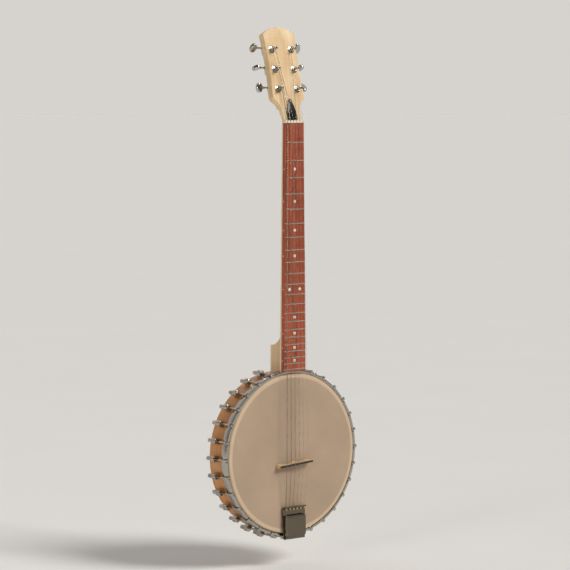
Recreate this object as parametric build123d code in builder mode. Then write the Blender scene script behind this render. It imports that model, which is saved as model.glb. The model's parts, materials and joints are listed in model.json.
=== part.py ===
from build123d import *

# Six-string open-back banjo, modelled hanging: +Z runs up the neck, -Y is the playing side and
# +X is the treble side. The origin is where a hanger's yoke holds the neck, under the shoulders of
# the headstock, on the middle of its thickness. All sizes are in millimetres.
#
# "Depth" below means the distance behind the playing face of the fretboard, along +Y.

import math
import os

# ---------------------------------------------------------------- driving sizes

# Neck and fretboard
SCALE_LENGTH = 647.7
FRET_COUNT = 22
DOT_FRETS = (3, 5, 7, 9, 12, 15, 17, 19, 21)
NUT_WIDTH = 45.0
NUT_THICK = 5.0
NUT_ABOVE_BOARD = 1.8
BOARD_END_WIDTH = 54.5
BOARD_THICK = 7.0
BOARD_PAST_LAST_FRET = 5.0
BOARD_OVER_HOOP = 1.5
SHAFT_DEPTH_NUT = 14.5
SHAFT_DEPTH_HEEL = 17.0
FRET_WIDE = 2.4
FRET_TALL = 1.1
FRET_SHORT_OF_EDGE = 0.4
DOT_RADIUS = 3.0
DOT_THICK = 1.5
DOT_PAIR_SPACING = 25.0
OCTAVE_FRET = 12

# Heel
HEEL_BACK_HALF_WIDTH = 12.5
HEEL_WAIST_HALF_WIDTH = 13.2
HEEL_SUNK_IN_SHAFT = 1.2
HEEL_SHORT_OF_RIM_BACK = 10.0
HEEL_LENGTH = 52.0

# Headstock
HEADSTOCK_ANGLE = 14.0
HEADSTOCK_THICK = 14.0
SHOULDER_START = 24.0
SHOULDER_END = 47.0
SHOULDER_HALF_WIDTH = 38.0
WAIST_HALF_WIDTH = 35.4
CROWN_HALF_WIDTH = 38.5
CROWN_CORNER = 167.0
CROWN_PEAK = 181.0
SHOULDER_MIDDLE_UP = 13.0
SHOULDER_MIDDLE_SHARE = 0.64
THROAT_WIDER = 0.5
THROAT_SQUARENESS = 5
YOKE_UP = 33.0

# Truss rod
TRUSS_RADIUS = 2.5
TRUSS_CHANNEL_WIDTH = 6.4
TRUSS_CHANNEL_DEEP = 9.2
TRUSS_POCKET_WIDTH = 11.0
TRUSS_POCKET_LENGTH = 27.0
TRUSS_POCKET_DEEP = 10.2
TRUSS_NUT_RADIUS = 3.4
TRUSS_NUT_LENGTH = 8.0
COVER_BASE_HALF_WIDTH = 12.0
COVER_TOP_HALF_WIDTH = 4.2
COVER_LENGTH = 41.0
COVER_THICK = 2.2
COVER_SCREW_RADIUS = 0.9
COVER_SCREW_HEAD_RADIUS = 1.9
COVER_SCREW_LENGTH = 9.0
COVER_SCREW_X = 8.0
COVER_SCREW_LOW = 5.0
COVER_SCREW_HIGH = 36.5
COVER_CROWN_SHARE = 0.88

# Pot: rim, tone ring, head and hoops
RIM_RADIUS = 152.4
RIM_WALL = 14.0
RIM_BACK_DEPTH = 68.0
HEAD_DEPTH = 6.4
HEAD_THICK = 0.6
HEAD_SLIP = 0.2
TONE_RING_RADIUS = 3.5
COLLAR_LENGTH = 12.0
FLESH_HOOP_SIZE = 3.8
HOOP_TOP_DEPTH = 8.3
HOOP_THICK = 5.0
HOOP_TALL = 13.8
HOOP_SKIRT = 1.5
HOOP_OVER_HEAD = 0.6
NOTCH_DEEP = 2.5

# Hooks, shoes and nuts
HOOK_COUNT = 28
HOOK_FIRST_ANGLE = 18.0
HOOK_RADIUS = 2.0
HOOK_TIP_WIDTH = 5.0
HOOK_TIP_REACH = 4.3
HOOK_TIP_THICK = 3.0
SHOE_FRONT_DEPTH = 36.5
SHOE_TALL = 12.0
SHOE_WIDTH = 11.0
SHOE_WALL = 2.9
SHOE_FILLET = 1.6
NUT_ACROSS_FLATS = 7.2
HOOK_NUT_LENGTH = 12.5
HOOK_NUT_CAP = 1.5
SHOE_BOLT_RADIUS = 1.9
SHOE_BOLT_HEAD_RADIUS = 4.5
SHOE_BOLT_HEAD_THICK = 2.6
SHOE_BOLT_BITE = 4.2

# Rods and bolts that hold the neck to the rim
ROD_RADIUS = 4.0
ROD_FRONT_DEPTH = 34.0
ROD_BACK_DEPTH = 50.0
ROD_BOLT_RADIUS = 3.0
ROD_BOLT_IN_ROD = 14.0
ROD_BOLT_IN_HEEL = 26.0
ROD_NUT_ACROSS_FLATS = 11.0
ROD_NUT_LENGTH = 7.0
TAIL_BOLT_HEAD_RADIUS = 5.5
TAIL_BOLT_HEAD_THICK = 4.5

# Bridge and strings
BRIDGE_LENGTH = 78.0
BRIDGE_SLANT = 4.0
BRIDGE_TALL = 15.2
BRIDGE_FOOT_THICK = 8.0
BRIDGE_TOP_THICK = 3.0
BRIDGE_CAP_TALL = 3.2
BRIDGE_ARCH_TALL = 6.0
BRIDGE_FOOT_LENGTH = 12.0
STRING_DIAMETERS = (1.35, 1.07, 0.81, 0.61, 0.41, 0.30)
STRING_SPREAD_NUT = 37.0
STRING_SPREAD_BRIDGE = 52.0
STRING_SPREAD_TAIL = 44.0
BALL_END_RADIUS = 1.9
STRING_IN_NUT = 0.9
STRING_IN_CAP = 0.4

# Tailpiece
TAIL_PLATE_HALF_WIDTH = 27.0
TAIL_PLATE_THICK = 1.6
TAIL_PLATE_DEPTH = 1.6
TAIL_LENGTH = 57.8
TAIL_LIP_TALL = 5.0
TAIL_HOLE_RADIUS = 1.1
TAIL_STRAP_HALF_WIDTH = 8.0
TAIL_STRAP_THICK = 2.0
TAIL_STRAP_END = 8.0
TAIL_STRAP_PAST_HOOP = 3.0
TAIL_COVER_HALF_WIDTH = 24.5
TAIL_COVER_LENGTH = 43.5
TAIL_COVER_FRONT_DEPTH = -5.5
TAIL_COVER_WALL = 0.9
HINGE_PIN_RADIUS = 1.25
HINGE_BARREL_RADIUS = 2.4
HINGE_DEPTH = -1.5
HINGE_PAST_HOOP = 1.7
HINGE_EAR_THICK = 1.5

# Tuning machines
TUNER_ROWS = (60.0, 98.5, 137.0)
TUNER_X = 23.0
POST_RADIUS = 3.0
POST_WAIST_RADIUS = 2.5
POST_ABOVE_FACE = 15.0
POST_WAIST_LOW = 5.0
POST_WAIST_HIGH = 11.5
POST_HOLE_RADIUS = 0.9
BUSHING_RADIUS = 4.5
BUSHING_HEX_ACROSS = 10.0
BUSHING_HEX_TALL = 2.6
WASHER_RADIUS = 7.0
WASHER_THICK = 0.8
GEAR_RADIUS = 4.8
GEAR_THICK = 2.6
GEAR_TEETH = 14
GEAR_TOOTH_GAP_RADIUS = 0.45
GEAR_OVER_FLOOR = 0.4
WORM_RADIUS = 2.3
WORM_LENGTH = 9.0
WORM_SHAFT_RADIUS = 1.6
WORM_CLEAR_OF_GEAR = 0.2
HOUSING_WALL = 1.9
HOUSING_THICK = 9.2
HOUSING_FLOOR = 2.0
HOUSING_BOSS_RADIUS = 3.2
HOUSING_BOSS_LENGTH = 3.0
EAR_RADIUS = 3.2
EAR_THICK = 2.0
EAR_SCREW_RADIUS = 1.1
EAR_SCREW_HEAD_RADIUS = 2.3
EAR_SCREW_LENGTH = 9.0
KNOB_PAST_EDGE = 8.0
KNOB_REACH = 13.5
KNOB_TALL = 19.0
KNOB_THICK = 7.5
KNOB_STEM_RADIUS = 2.8
KNOB_COLLAR_RADIUS = 2.3
KNOB_STEM_LENGTH = 5.0
KNOB_FILLET = 2.4

# Small shapes
HEADSTOCK_EASE = 0.8
BOARD_EASE = 0.6
RIM_EASE = 1.5
SIDE_DOT_RADIUS = 1.1
SIDE_DOT_THICK = 1.2
NUT_BEVEL = 1.2
NUT_SLOT_ROOM = 0.35
CAP_SLOT_ROOM = 0.2
TRUSS_HEX_LENGTH = 3.0
COVER_ABOVE_NUT = 1.0
SCREW_HEAD_THICK = 1.1
SCREW_SLOT = 0.5
SCREW_SLOT_LONG = 1.5
TAIL_LIP_THICK = 2.0
STRING_TAIL_DEPTH = -1.2
STRING_BEND_RADIUS = 6.0
STRING_TURNS = 3
COIL_CLOSE = 0.97
BALL_END_LENGTH = 3.2
COVER_CORNER = 3.5
HOUSING_CORNER = 3.6
EAR_DOWN = 11.0
WORM_GROOVES = 5
WORM_ROOM = 0.6
POST_TOP_FILLET = 1.2
KNOB_TURNS = (8.0, 84.0, 48.0, -35.0, 76.0, 20.0)

# Clearances
RUN_CLEAR = 0.05
SEAT_CLEAR = 0.05
ROOM = 0.3

# ---------------------------------------------------------------- worked-out places

TILT = math.radians(HEADSTOCK_ANGLE)
NECK_Y = -(YOKE_UP * math.sin(TILT) + HEADSTOCK_THICK / 2 * math.cos(TILT))
FACE_Y = NECK_Y - BOARD_THICK
NUT_TOP_Z = -YOKE_UP * math.cos(TILT) + HEADSTOCK_THICK / 2 * math.sin(TILT)
NUT_Z = NUT_TOP_Z - NUT_THICK
BRIDGE_Z = NUT_Z - SCALE_LENGTH

COLLAR_RADIUS = RIM_RADIUS + HEAD_SLIP
HOOP_INNER = COLLAR_RADIUS + HEAD_THICK + HOOP_OVER_HEAD
HOOP_OUTER = HOOP_INNER + HOOP_THICK
HOOK_CIRCLE = HOOP_OUTER + ROOM + HOOK_RADIUS
TONE_DEPTH = HEAD_DEPTH + HEAD_THICK + SEAT_CLEAR + TONE_RING_RADIUS
RIM_FRONT_DEPTH = TONE_DEPTH + TONE_RING_RADIUS
RIM_INNER = RIM_RADIUS - RIM_WALL


def fret_z(number):
    """Height of a fret, from the equal-tempered division of the scale."""
    return NUT_Z - SCALE_LENGTH * (1 - 2 ** (-number / OCTAVE_FRET))


BOARD_END_Z = fret_z(FRET_COUNT) - BOARD_PAST_LAST_FRET
RIM_Z = BOARD_END_Z + BOARD_OVER_HOOP - HOOP_OUTER
HEEL_BACK_DEPTH = RIM_BACK_DEPTH - HEEL_SHORT_OF_RIM_BACK
HEEL_TOP_Z = RIM_Z + RIM_RADIUS + HEEL_LENGTH
HEEL_CURVE = HEEL_BACK_DEPTH - BOARD_THICK - SHAFT_DEPTH_HEEL
SHAFT_END_Z = HEEL_TOP_Z + HEEL_CURVE
TAIL_FRONT_Z = RIM_Z - HOOP_OUTER + TAIL_LENGTH
STRAP_Z = RIM_Z - HOOP_OUTER - TAIL_STRAP_PAST_HOOP
HINGE_Z = RIM_Z - HOOP_OUTER - HINGE_PAST_HOOP
BRIDGE_TOP_DEPTH = HEAD_DEPTH - BRIDGE_TALL
WORM_UP = GEAR_RADIUS + WORM_CLEAR_OF_GEAR + WORM_RADIUS
GEAR_HEIGHT = -HEADSTOCK_THICK - HOUSING_FLOOR - GEAR_OVER_FLOOR - GEAR_THICK
WORM_HEIGHT = GEAR_HEIGHT + GEAR_THICK / 2
KNOB_X = max(SHOULDER_HALF_WIDTH, CROWN_HALF_WIDTH) + KNOB_PAST_EDGE

SHOE_MIDDLE_DEPTH = SHOE_FRONT_DEPTH + SHOE_TALL / 2

# Planes. POT: local x to the neck, y to the treble side and z along the depth, from the face of
# the fretboard. HEADSTOCK: local x to the treble side, y up the headstock, z out of its face.
POT = Plane(origin=(0, FACE_Y, RIM_Z), x_dir=(0, 0, 1), z_dir=(0, 1, 0))
HEADSTOCK = Plane(
    origin=(0, NECK_Y, NUT_TOP_Z),
    x_dir=(1, 0, 0),
    z_dir=(0, -math.cos(TILT), math.sin(TILT)),
)
POT_AXIS = Axis((0, 0, RIM_Z), (0, 1, 0))
POT_PROFILE = Plane(origin=(0, FACE_Y, RIM_Z), x_dir=(1, 0, 0), z_dir=(0, 0, 1))
COVER_SCREWS = [
    (-COVER_SCREW_X, COVER_SCREW_LOW),
    (COVER_SCREW_X, COVER_SCREW_LOW),
    (0, COVER_SCREW_HIGH),
]
TUNERS = [(side * TUNER_X, row, side) for side in (-1, 1) for row in TUNER_ROWS]


def board_half_width(z):
    """Half the fretboard's width at a height, on its straight taper."""
    share = (NUT_Z - z) / (NUT_Z - BOARD_END_Z)
    return (NUT_WIDTH + (BOARD_END_WIDTH - NUT_WIDTH) * share) / 2


def hook_angles():
    """Angles from the neck of the hooks, evenly spaced from one side of the heel to the other."""
    step = (360 - 2 * HOOK_FIRST_ANGLE) / (HOOK_COUNT - 1)
    return [HOOK_FIRST_ANGLE + number * step for number in range(HOOK_COUNT)]


HOOK_ANGLES = hook_angles()


def around(angle, radius, depth):
    """A plane on the pot: origin at a radius and depth, local x outwards, z along the depth."""
    turn = math.radians(angle)
    out = (math.sin(turn), 0, math.cos(turn))
    origin = (radius * out[0], FACE_Y + depth, RIM_Z + radius * out[2])
    return Plane(origin=origin, x_dir=out, z_dir=(0, 1, 0))


def radial(angle, radius, depth):
    """A plane on the pot that faces outwards, for round things that point at the centre."""
    turn = math.radians(angle)
    out = (math.sin(turn), 0, math.cos(turn))
    origin = (radius * out[0], FACE_Y + depth, RIM_Z + radius * out[2])
    return Plane(origin=origin, x_dir=(0, 1, 0), z_dir=out)


def string_x(index, spread):
    """Sideways place of a string, counted from the bass side."""
    return spread * (index / (len(STRING_DIAMETERS) - 1) - 0.5)


def finish(piece, label):
    """Names a finished piece and writes its STEP file."""
    piece.part.label = label
    export_step(piece.part, f"parts/{label}.step")


os.makedirs("parts", exist_ok=True)

# ---------------------------------------------------------------- neck

# The heel: a side outline with its hollow curve, cut to a plan outline that narrows to the back.
with BuildPart() as heel:
    with BuildSketch(Plane.YZ):
        with BuildLine():
            Polyline(
                (FACE_Y + HEEL_BACK_DEPTH, HEEL_TOP_Z),
                (FACE_Y + HEEL_BACK_DEPTH, RIM_Z),
                (NECK_Y, RIM_Z),
                (NECK_Y, SHAFT_END_Z),
                (NECK_Y + SHAFT_DEPTH_HEEL - HEEL_SUNK_IN_SHAFT, SHAFT_END_Z),
            )
            TangentArc(
                (NECK_Y + SHAFT_DEPTH_HEEL - HEEL_SUNK_IN_SHAFT, SHAFT_END_Z),
                (FACE_Y + HEEL_BACK_DEPTH, HEEL_TOP_Z),
                tangent=(0, -1),
            )
        make_face()
    extrude(amount=BOARD_END_WIDTH, both=True)
    # The plan follows the shaft's oval at first, and then runs back at the waist's width
    with BuildSketch(Plane.XY.offset(RIM_Z)):
        half = board_half_width(SHAFT_END_Z)
        heel_back = (HEEL_BACK_HALF_WIDTH, FACE_Y + HEEL_BACK_DEPTH)
        with BuildLine():
            Line((-half, NECK_Y), (half, NECK_Y))
            flank = Spline(
                (half, NECK_Y),
                (half * math.sqrt(1 - 0.45**2), NECK_Y + 0.45 * SHAFT_DEPTH_HEEL),
                (half * math.sqrt(1 - 0.8**2), NECK_Y + 0.8 * SHAFT_DEPTH_HEEL),
                (HEEL_WAIST_HALF_WIDTH, (NECK_Y + FACE_Y + HEEL_BACK_DEPTH) / 2),
                heel_back,
            )
            mirror(flank, about=Plane.YZ)
            Line(heel_back, (-HEEL_BACK_HALF_WIDTH, FACE_Y + HEEL_BACK_DEPTH))
        make_face()
    extrude(amount=SHAFT_END_Z - RIM_Z, mode=Mode.INTERSECT)


def half_oval(height, half_width, depth):
    """The neck's section at a height: flat under the fretboard and oval behind."""
    with BuildSketch(Plane.XY.offset(height)) as section:
        with BuildLine():
            Line((-half_width, NECK_Y), (half_width, NECK_Y))
            EllipticalCenterArc((0, NECK_Y), half_width, depth, start_angle=0, arc_size=180)
        make_face()
    return section.sketch


def squared_oval(turn, half_width, depth):
    """A point of an oval with squared corners, by its turn in degrees."""
    across = math.cos(math.radians(turn))
    down = math.sin(math.radians(turn))
    power = 2 / THROAT_SQUARENESS
    return math.copysign(half_width * abs(across) ** power, across), depth * down**power


# The headstock's plate, eased round its face but not where it runs into the throat
throat_half = NUT_WIDTH / 2 + THROAT_WIDER

with BuildPart() as headstock_plate:
    with BuildSketch(HEADSTOCK) as outline:
        with BuildLine():
            shoulder = Spline(
                (throat_half, SHOULDER_START),
                (
                    throat_half + SHOULDER_MIDDLE_SHARE * (SHOULDER_HALF_WIDTH - throat_half),
                    SHOULDER_START + SHOULDER_MIDDLE_UP,
                ),
                (SHOULDER_HALF_WIDTH, SHOULDER_END),
                tangents=((0, 1), (0, 1)),
            )
            side = ThreePointArc(
                (SHOULDER_HALF_WIDTH, SHOULDER_END),
                (WAIST_HALF_WIDTH, (SHOULDER_END + CROWN_CORNER) / 2),
                (CROWN_HALF_WIDTH, CROWN_CORNER),
            )
            ThreePointArc(
                (CROWN_HALF_WIDTH, CROWN_CORNER),
                (0, CROWN_PEAK),
                (-CROWN_HALF_WIDTH, CROWN_CORNER),
            )
            mirror(side, about=Plane.YZ)
            mirror(shoulder, about=Plane.YZ)
            Line((-throat_half, SHOULDER_START), (throat_half, SHOULDER_START))
        make_face()
    extrude(amount=-HEADSTOCK_THICK)
    face_edges = edges().group_by(Axis(HEADSTOCK.origin, HEADSTOCK.z_dir))[-1]
    back_edges = edges().group_by(Axis(HEADSTOCK.origin, HEADSTOCK.z_dir))[0]
    fillet(face_edges.filter_by(GeomType.CIRCLE) + back_edges.filter_by(GeomType.CIRCLE), HEADSTOCK_EASE)

with BuildPart() as neck:
    # Shaft, from the nut to the rim
    add(half_oval(NUT_TOP_Z, NUT_WIDTH / 2, SHAFT_DEPTH_NUT))
    add(half_oval(RIM_Z + RIM_RADIUS, board_half_width(RIM_Z + RIM_RADIUS), SHAFT_DEPTH_HEEL))
    loft(ruled=True)
    add(heel.part)
    # Throat, from the shaft to the flat headstock
    add(half_oval(NUT_TOP_Z, NUT_WIDTH / 2, SHAFT_DEPTH_NUT))
    throat_plane = Plane(
        origin=HEADSTOCK.from_local_coords((0, SHOULDER_START, 0)),
        x_dir=(1, 0, 0),
        z_dir=HEADSTOCK.y_dir,
    )
    with BuildSketch(throat_plane):
        with BuildLine():
            Line((-throat_half, 0), (throat_half, 0))
            Spline(
                (throat_half, 0),
                *[squared_oval(turn, throat_half, HEADSTOCK_THICK) for turn in range(15, 180, 15)],
                (-throat_half, 0),
            )
        make_face()
    loft(ruled=True)
    add(headstock_plate.part)
    # The end that meets the pot: clear of the hoop in front, seated on the rim behind
    with BuildSketch(POT.offset(-BOARD_THICK)):
        Circle(HOOP_OUTER + ROOM)
    extrude(amount=BOARD_THICK + HOOP_TOP_DEPTH + HOOP_TALL + ROOM + BOARD_THICK, mode=Mode.SUBTRACT)
    with BuildSketch(POT):
        Circle(RIM_RADIUS + SEAT_CLEAR)
    extrude(amount=RIM_BACK_DEPTH, mode=Mode.SUBTRACT)
    # Truss-rod channel and the pocket that its nut turns in
    with BuildSketch(Plane(origin=(0, NECK_Y, 0), x_dir=(1, 0, 0), z_dir=(0, 1, 0))):
        with Locations((0, -(NUT_TOP_Z + HEEL_TOP_Z) / 2)):
            Rectangle(TRUSS_CHANNEL_WIDTH, NUT_TOP_Z - HEEL_TOP_Z)
    extrude(amount=TRUSS_CHANNEL_DEEP, mode=Mode.SUBTRACT)
    with BuildSketch(HEADSTOCK):
        with Locations((0, TRUSS_POCKET_LENGTH / 2)):
            Rectangle(TRUSS_POCKET_WIDTH, TRUSS_POCKET_LENGTH)
    extrude(amount=-TRUSS_POCKET_DEEP, mode=Mode.SUBTRACT)
    # Holes for the tuning machines, their screws and the cover's screws
    with BuildSketch(HEADSTOCK):
        with Locations(*[(x, up) for x, up, _ in TUNERS]):
            Circle(BUSHING_RADIUS + SEAT_CLEAR)
    extrude(amount=-HEADSTOCK_THICK, mode=Mode.SUBTRACT)
    with BuildSketch(HEADSTOCK.offset(-HEADSTOCK_THICK)):
        with Locations(*[(x, up - EAR_DOWN) for x, up, _ in TUNERS]):
            Circle(EAR_SCREW_RADIUS + SEAT_CLEAR)
    extrude(amount=EAR_SCREW_LENGTH - EAR_THICK + ROOM, mode=Mode.SUBTRACT)
    with BuildSketch(HEADSTOCK):
        with Locations(*COVER_SCREWS):
            Circle(COVER_SCREW_RADIUS + SEAT_CLEAR)
    extrude(amount=-(COVER_SCREW_LENGTH - COVER_THICK + ROOM), mode=Mode.SUBTRACT)
    # Holes in the heel for the two bolts that draw it against the rim
    for depth in (ROD_FRONT_DEPTH, ROD_BACK_DEPTH):
        with BuildSketch(radial(0, RIM_RADIUS - ROOM, depth)):
            Circle(ROD_BOLT_RADIUS + SEAT_CLEAR)
        extrude(amount=ROD_BOLT_IN_HEEL + 2 * ROOM, mode=Mode.SUBTRACT)
finish(neck, "neck")

BOARD_FRONT = Plane(origin=(0, FACE_Y, 0), x_dir=(1, 0, 0), z_dir=(0, -1, 0))
DOT_PLACES = [
    (side * DOT_PAIR_SPACING / 2 * (number == OCTAVE_FRET), (fret_z(number) + fret_z(number - 1)) / 2)
    for number in DOT_FRETS
    for side in ((-1, 1) if number == OCTAVE_FRET else (0,))
]

with BuildPart() as fretboard:
    with BuildSketch(BOARD_FRONT):
        with BuildLine():
            Polyline(
                (-NUT_WIDTH / 2, NUT_Z),
                (NUT_WIDTH / 2, NUT_Z),
                (BOARD_END_WIDTH / 2, BOARD_END_Z),
                (-BOARD_END_WIDTH / 2, BOARD_END_Z),
                close=True,
            )
        make_face()
    extrude(amount=-BOARD_THICK)
    chamfer(edges().group_by(Axis.Y)[0].filter_by(Axis.X, reverse=True), BOARD_EASE)
    with BuildSketch(BOARD_FRONT):
        with Locations(*DOT_PLACES):
            Circle(DOT_RADIUS + SEAT_CLEAR)
    extrude(amount=-DOT_THICK, mode=Mode.SUBTRACT)
    for _, z in DOT_PLACES:
        with BuildSketch(Plane(origin=(-board_half_width(z), NECK_Y, z), x_dir=(0, 1, 0), z_dir=(1, 0, 0))):
            with Locations((-BOARD_THICK / 2, 0)):
                Circle(SIDE_DOT_RADIUS + SEAT_CLEAR)
        extrude(amount=SIDE_DOT_THICK, both=True, mode=Mode.SUBTRACT)
finish(fretboard, "fretboard")

with BuildPart() as fret_markers:
    with BuildSketch(BOARD_FRONT):
        with Locations(*DOT_PLACES):
            Circle(DOT_RADIUS)
    extrude(amount=-DOT_THICK)
finish(fret_markers, "fret_markers")

with BuildPart() as side_dots:
    for _, z in DOT_PLACES:
        inner = -board_half_width(z) + SIDE_DOT_THICK
        with BuildSketch(Plane(origin=(inner, NECK_Y, z), x_dir=(0, 1, 0), z_dir=(-1, 0, 0))):
            with Locations((-BOARD_THICK / 2, 0)):
                Circle(SIDE_DOT_RADIUS)
        extrude(amount=SIDE_DOT_THICK)
finish(side_dots, "side_dots")

with BuildPart() as frets:
    for number in range(1, FRET_COUNT + 1):
        half = board_half_width(fret_z(number)) - FRET_SHORT_OF_EDGE - BOARD_EASE
        with BuildSketch(Plane(origin=(-half, FACE_Y, fret_z(number)), x_dir=(0, -1, 0), z_dir=(1, 0, 0))):
            with BuildLine():
                Line((0, FRET_WIDE / 2), (0, -FRET_WIDE / 2))
                EllipticalCenterArc((0, 0), FRET_TALL, FRET_WIDE / 2, start_angle=-90, arc_size=180)
            make_face()
        extrude(amount=2 * half)
finish(frets, "frets")

# ---------------------------------------------------------------- strings: where they run

STRING_RADII = [diameter / 2 for diameter in STRING_DIAMETERS]
LOWER_HALF = len(STRING_DIAMETERS) // 2


def string_post(index):
    """The post of a string: outer strings go to the posts nearest the nut."""
    side = -1 if index < LOWER_HALF else 1
    row = index if index < LOWER_HALF else len(STRING_DIAMETERS) - 1 - index
    return side, TUNER_ROWS[row]


def string_points(index):
    """Ball end, bridge, nut and post: the corners of a string's centre line."""
    radius = STRING_RADII[index]
    ball = Vector(
        string_x(index, STRING_SPREAD_TAIL),
        FACE_Y + STRING_TAIL_DEPTH,
        TAIL_FRONT_Z - TAIL_LIP_THICK - SEAT_CLEAR,
    )
    bridge_x = string_x(index, STRING_SPREAD_BRIDGE)
    bridge_top = Vector(
        bridge_x,
        FACE_Y + BRIDGE_TOP_DEPTH + STRING_IN_CAP - radius,
        BRIDGE_Z + bridge_x * math.tan(math.radians(BRIDGE_SLANT)),
    )
    over_nut = Vector(
        string_x(index, STRING_SPREAD_NUT),
        FACE_Y - NUT_ABOVE_BOARD + STRING_IN_NUT - radius,
        NUT_TOP_Z + ROOM,
    )
    side, row = string_post(index)
    start = HEADSTOCK.to_local_coords(over_nut)
    reach = POST_WAIST_RADIUS + RUN_CLEAR + 3 * radius + SEAT_CLEAR
    to_post = Vector(side * TUNER_X - start.X, row - start.Y)
    # The run touches a circle round the post on its inner side
    square = math.sqrt(to_post.length**2 - reach**2)
    turn = side * math.degrees(math.asin(reach / to_post.length))
    run = to_post.normalized().rotate(Axis.Z, turn) * square
    low = POST_WAIST_LOW + ROOM + radius
    end = HEADSTOCK.from_local_coords(Vector(start.X + run.X, start.Y + run.Y, low))
    return ball, bridge_top, over_nut, end


# ---------------------------------------------------------------- nut and truss rod

with BuildPart() as nut:
    with BuildSketch(Plane.YZ):
        with BuildLine():
            Polyline(
                (NECK_Y, NUT_Z),
                (FACE_Y - NUT_ABOVE_BOARD, NUT_Z),
                (FACE_Y - NUT_ABOVE_BOARD, NUT_TOP_Z - NUT_BEVEL),
                (FACE_Y - NUT_ABOVE_BOARD + NUT_BEVEL, NUT_TOP_Z),
                (NECK_Y, NUT_TOP_Z),
                close=True,
            )
        make_face()
    extrude(amount=NUT_WIDTH / 2, both=True)
    for index, radius in enumerate(STRING_RADII):
        over_nut = string_points(index)[2]
        floor = over_nut.Y + radius + SEAT_CLEAR
        top = FACE_Y - NUT_ABOVE_BOARD - ROOM
        with BuildSketch(Plane.XY.offset(NUT_Z)):
            with Locations((over_nut.X, (floor + top) / 2)):
                Rectangle(2 * (radius + NUT_SLOT_ROOM), floor - top)
        extrude(amount=NUT_THICK, mode=Mode.SUBTRACT)
finish(nut, "nut")

TRUSS_DEEP = TRUSS_CHANNEL_DEEP - TRUSS_RADIUS - ROOM

with BuildPart() as truss_rod:
    with BuildSketch(Plane.XY.offset(HEEL_TOP_Z + ROOM)):
        with Locations((0, NECK_Y + TRUSS_DEEP)):
            Circle(TRUSS_RADIUS)
    extrude(amount=NUT_TOP_Z + TRUSS_NUT_LENGTH - ROOM - HEEL_TOP_Z)
finish(truss_rod, "truss_rod")

with BuildPart() as truss_rod_nut:
    with BuildSketch(Plane.XY.offset(NUT_TOP_Z + 2 * ROOM)):
        with Locations((0, NECK_Y + TRUSS_DEEP)):
            Circle(TRUSS_NUT_RADIUS)
            Circle(TRUSS_RADIUS + SEAT_CLEAR, mode=Mode.SUBTRACT)
    extrude(amount=TRUSS_NUT_LENGTH - ROOM)
    with BuildSketch(Plane.XY.offset(NUT_TOP_Z + ROOM + TRUSS_NUT_LENGTH)):
        with Locations((0, NECK_Y + TRUSS_DEEP)):
            RegularPolygon(TRUSS_NUT_RADIUS - 2 * ROOM, 6)
            Circle(TRUSS_RADIUS + SEAT_CLEAR, mode=Mode.SUBTRACT)
    extrude(amount=TRUSS_HEX_LENGTH)
finish(truss_rod_nut, "truss_rod_nut")

with BuildPart() as truss_rod_cover:
    with BuildSketch(HEADSTOCK):
        with BuildLine():
            bell = Spline(
                (COVER_BASE_HALF_WIDTH, COVER_ABOVE_NUT),
                (0.93 * COVER_BASE_HALF_WIDTH, 0.35 * COVER_LENGTH),
                (COVER_TOP_HALF_WIDTH, COVER_CROWN_SHARE * COVER_LENGTH),
                tangents=((0, 1), (-0.35, 1)),
            )
            crown = ThreePointArc(
                (COVER_TOP_HALF_WIDTH, COVER_CROWN_SHARE * COVER_LENGTH),
                (0, COVER_LENGTH),
                (-COVER_TOP_HALF_WIDTH, COVER_CROWN_SHARE * COVER_LENGTH),
            )
            mirror(bell, about=Plane.YZ)
            Line((-COVER_BASE_HALF_WIDTH, COVER_ABOVE_NUT), (COVER_BASE_HALF_WIDTH, COVER_ABOVE_NUT))
        make_face()
        with Locations(*COVER_SCREWS):
            Circle(COVER_SCREW_RADIUS + SEAT_CLEAR, mode=Mode.SUBTRACT)
    extrude(amount=COVER_THICK)
finish(truss_rod_cover, "truss_rod_cover")

with BuildPart() as truss_cover_screws:
    with BuildSketch(HEADSTOCK.offset(COVER_THICK)):
        with Locations(*COVER_SCREWS):
            Circle(COVER_SCREW_RADIUS)
    extrude(amount=-COVER_SCREW_LENGTH)
    with BuildSketch(HEADSTOCK.offset(COVER_THICK)):
        with Locations(*COVER_SCREWS):
            Circle(COVER_SCREW_HEAD_RADIUS)
    extrude(amount=SCREW_HEAD_THICK)
    with BuildSketch(HEADSTOCK.offset(COVER_THICK + SCREW_HEAD_THICK)):
        with Locations(*COVER_SCREWS):
            Rectangle(SCREW_SLOT_LONG * COVER_SCREW_HEAD_RADIUS, SCREW_SLOT)
            Rectangle(SCREW_SLOT, SCREW_SLOT_LONG * COVER_SCREW_HEAD_RADIUS)
    extrude(amount=-SCREW_SLOT, mode=Mode.SUBTRACT)
finish(truss_cover_screws, "truss_cover_screws")

# ---------------------------------------------------------------- pot


def sagitta(radius, half_width):
    """How far a circle of a radius falls away over half a width."""
    return radius - math.sqrt(radius**2 - half_width**2)


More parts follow.
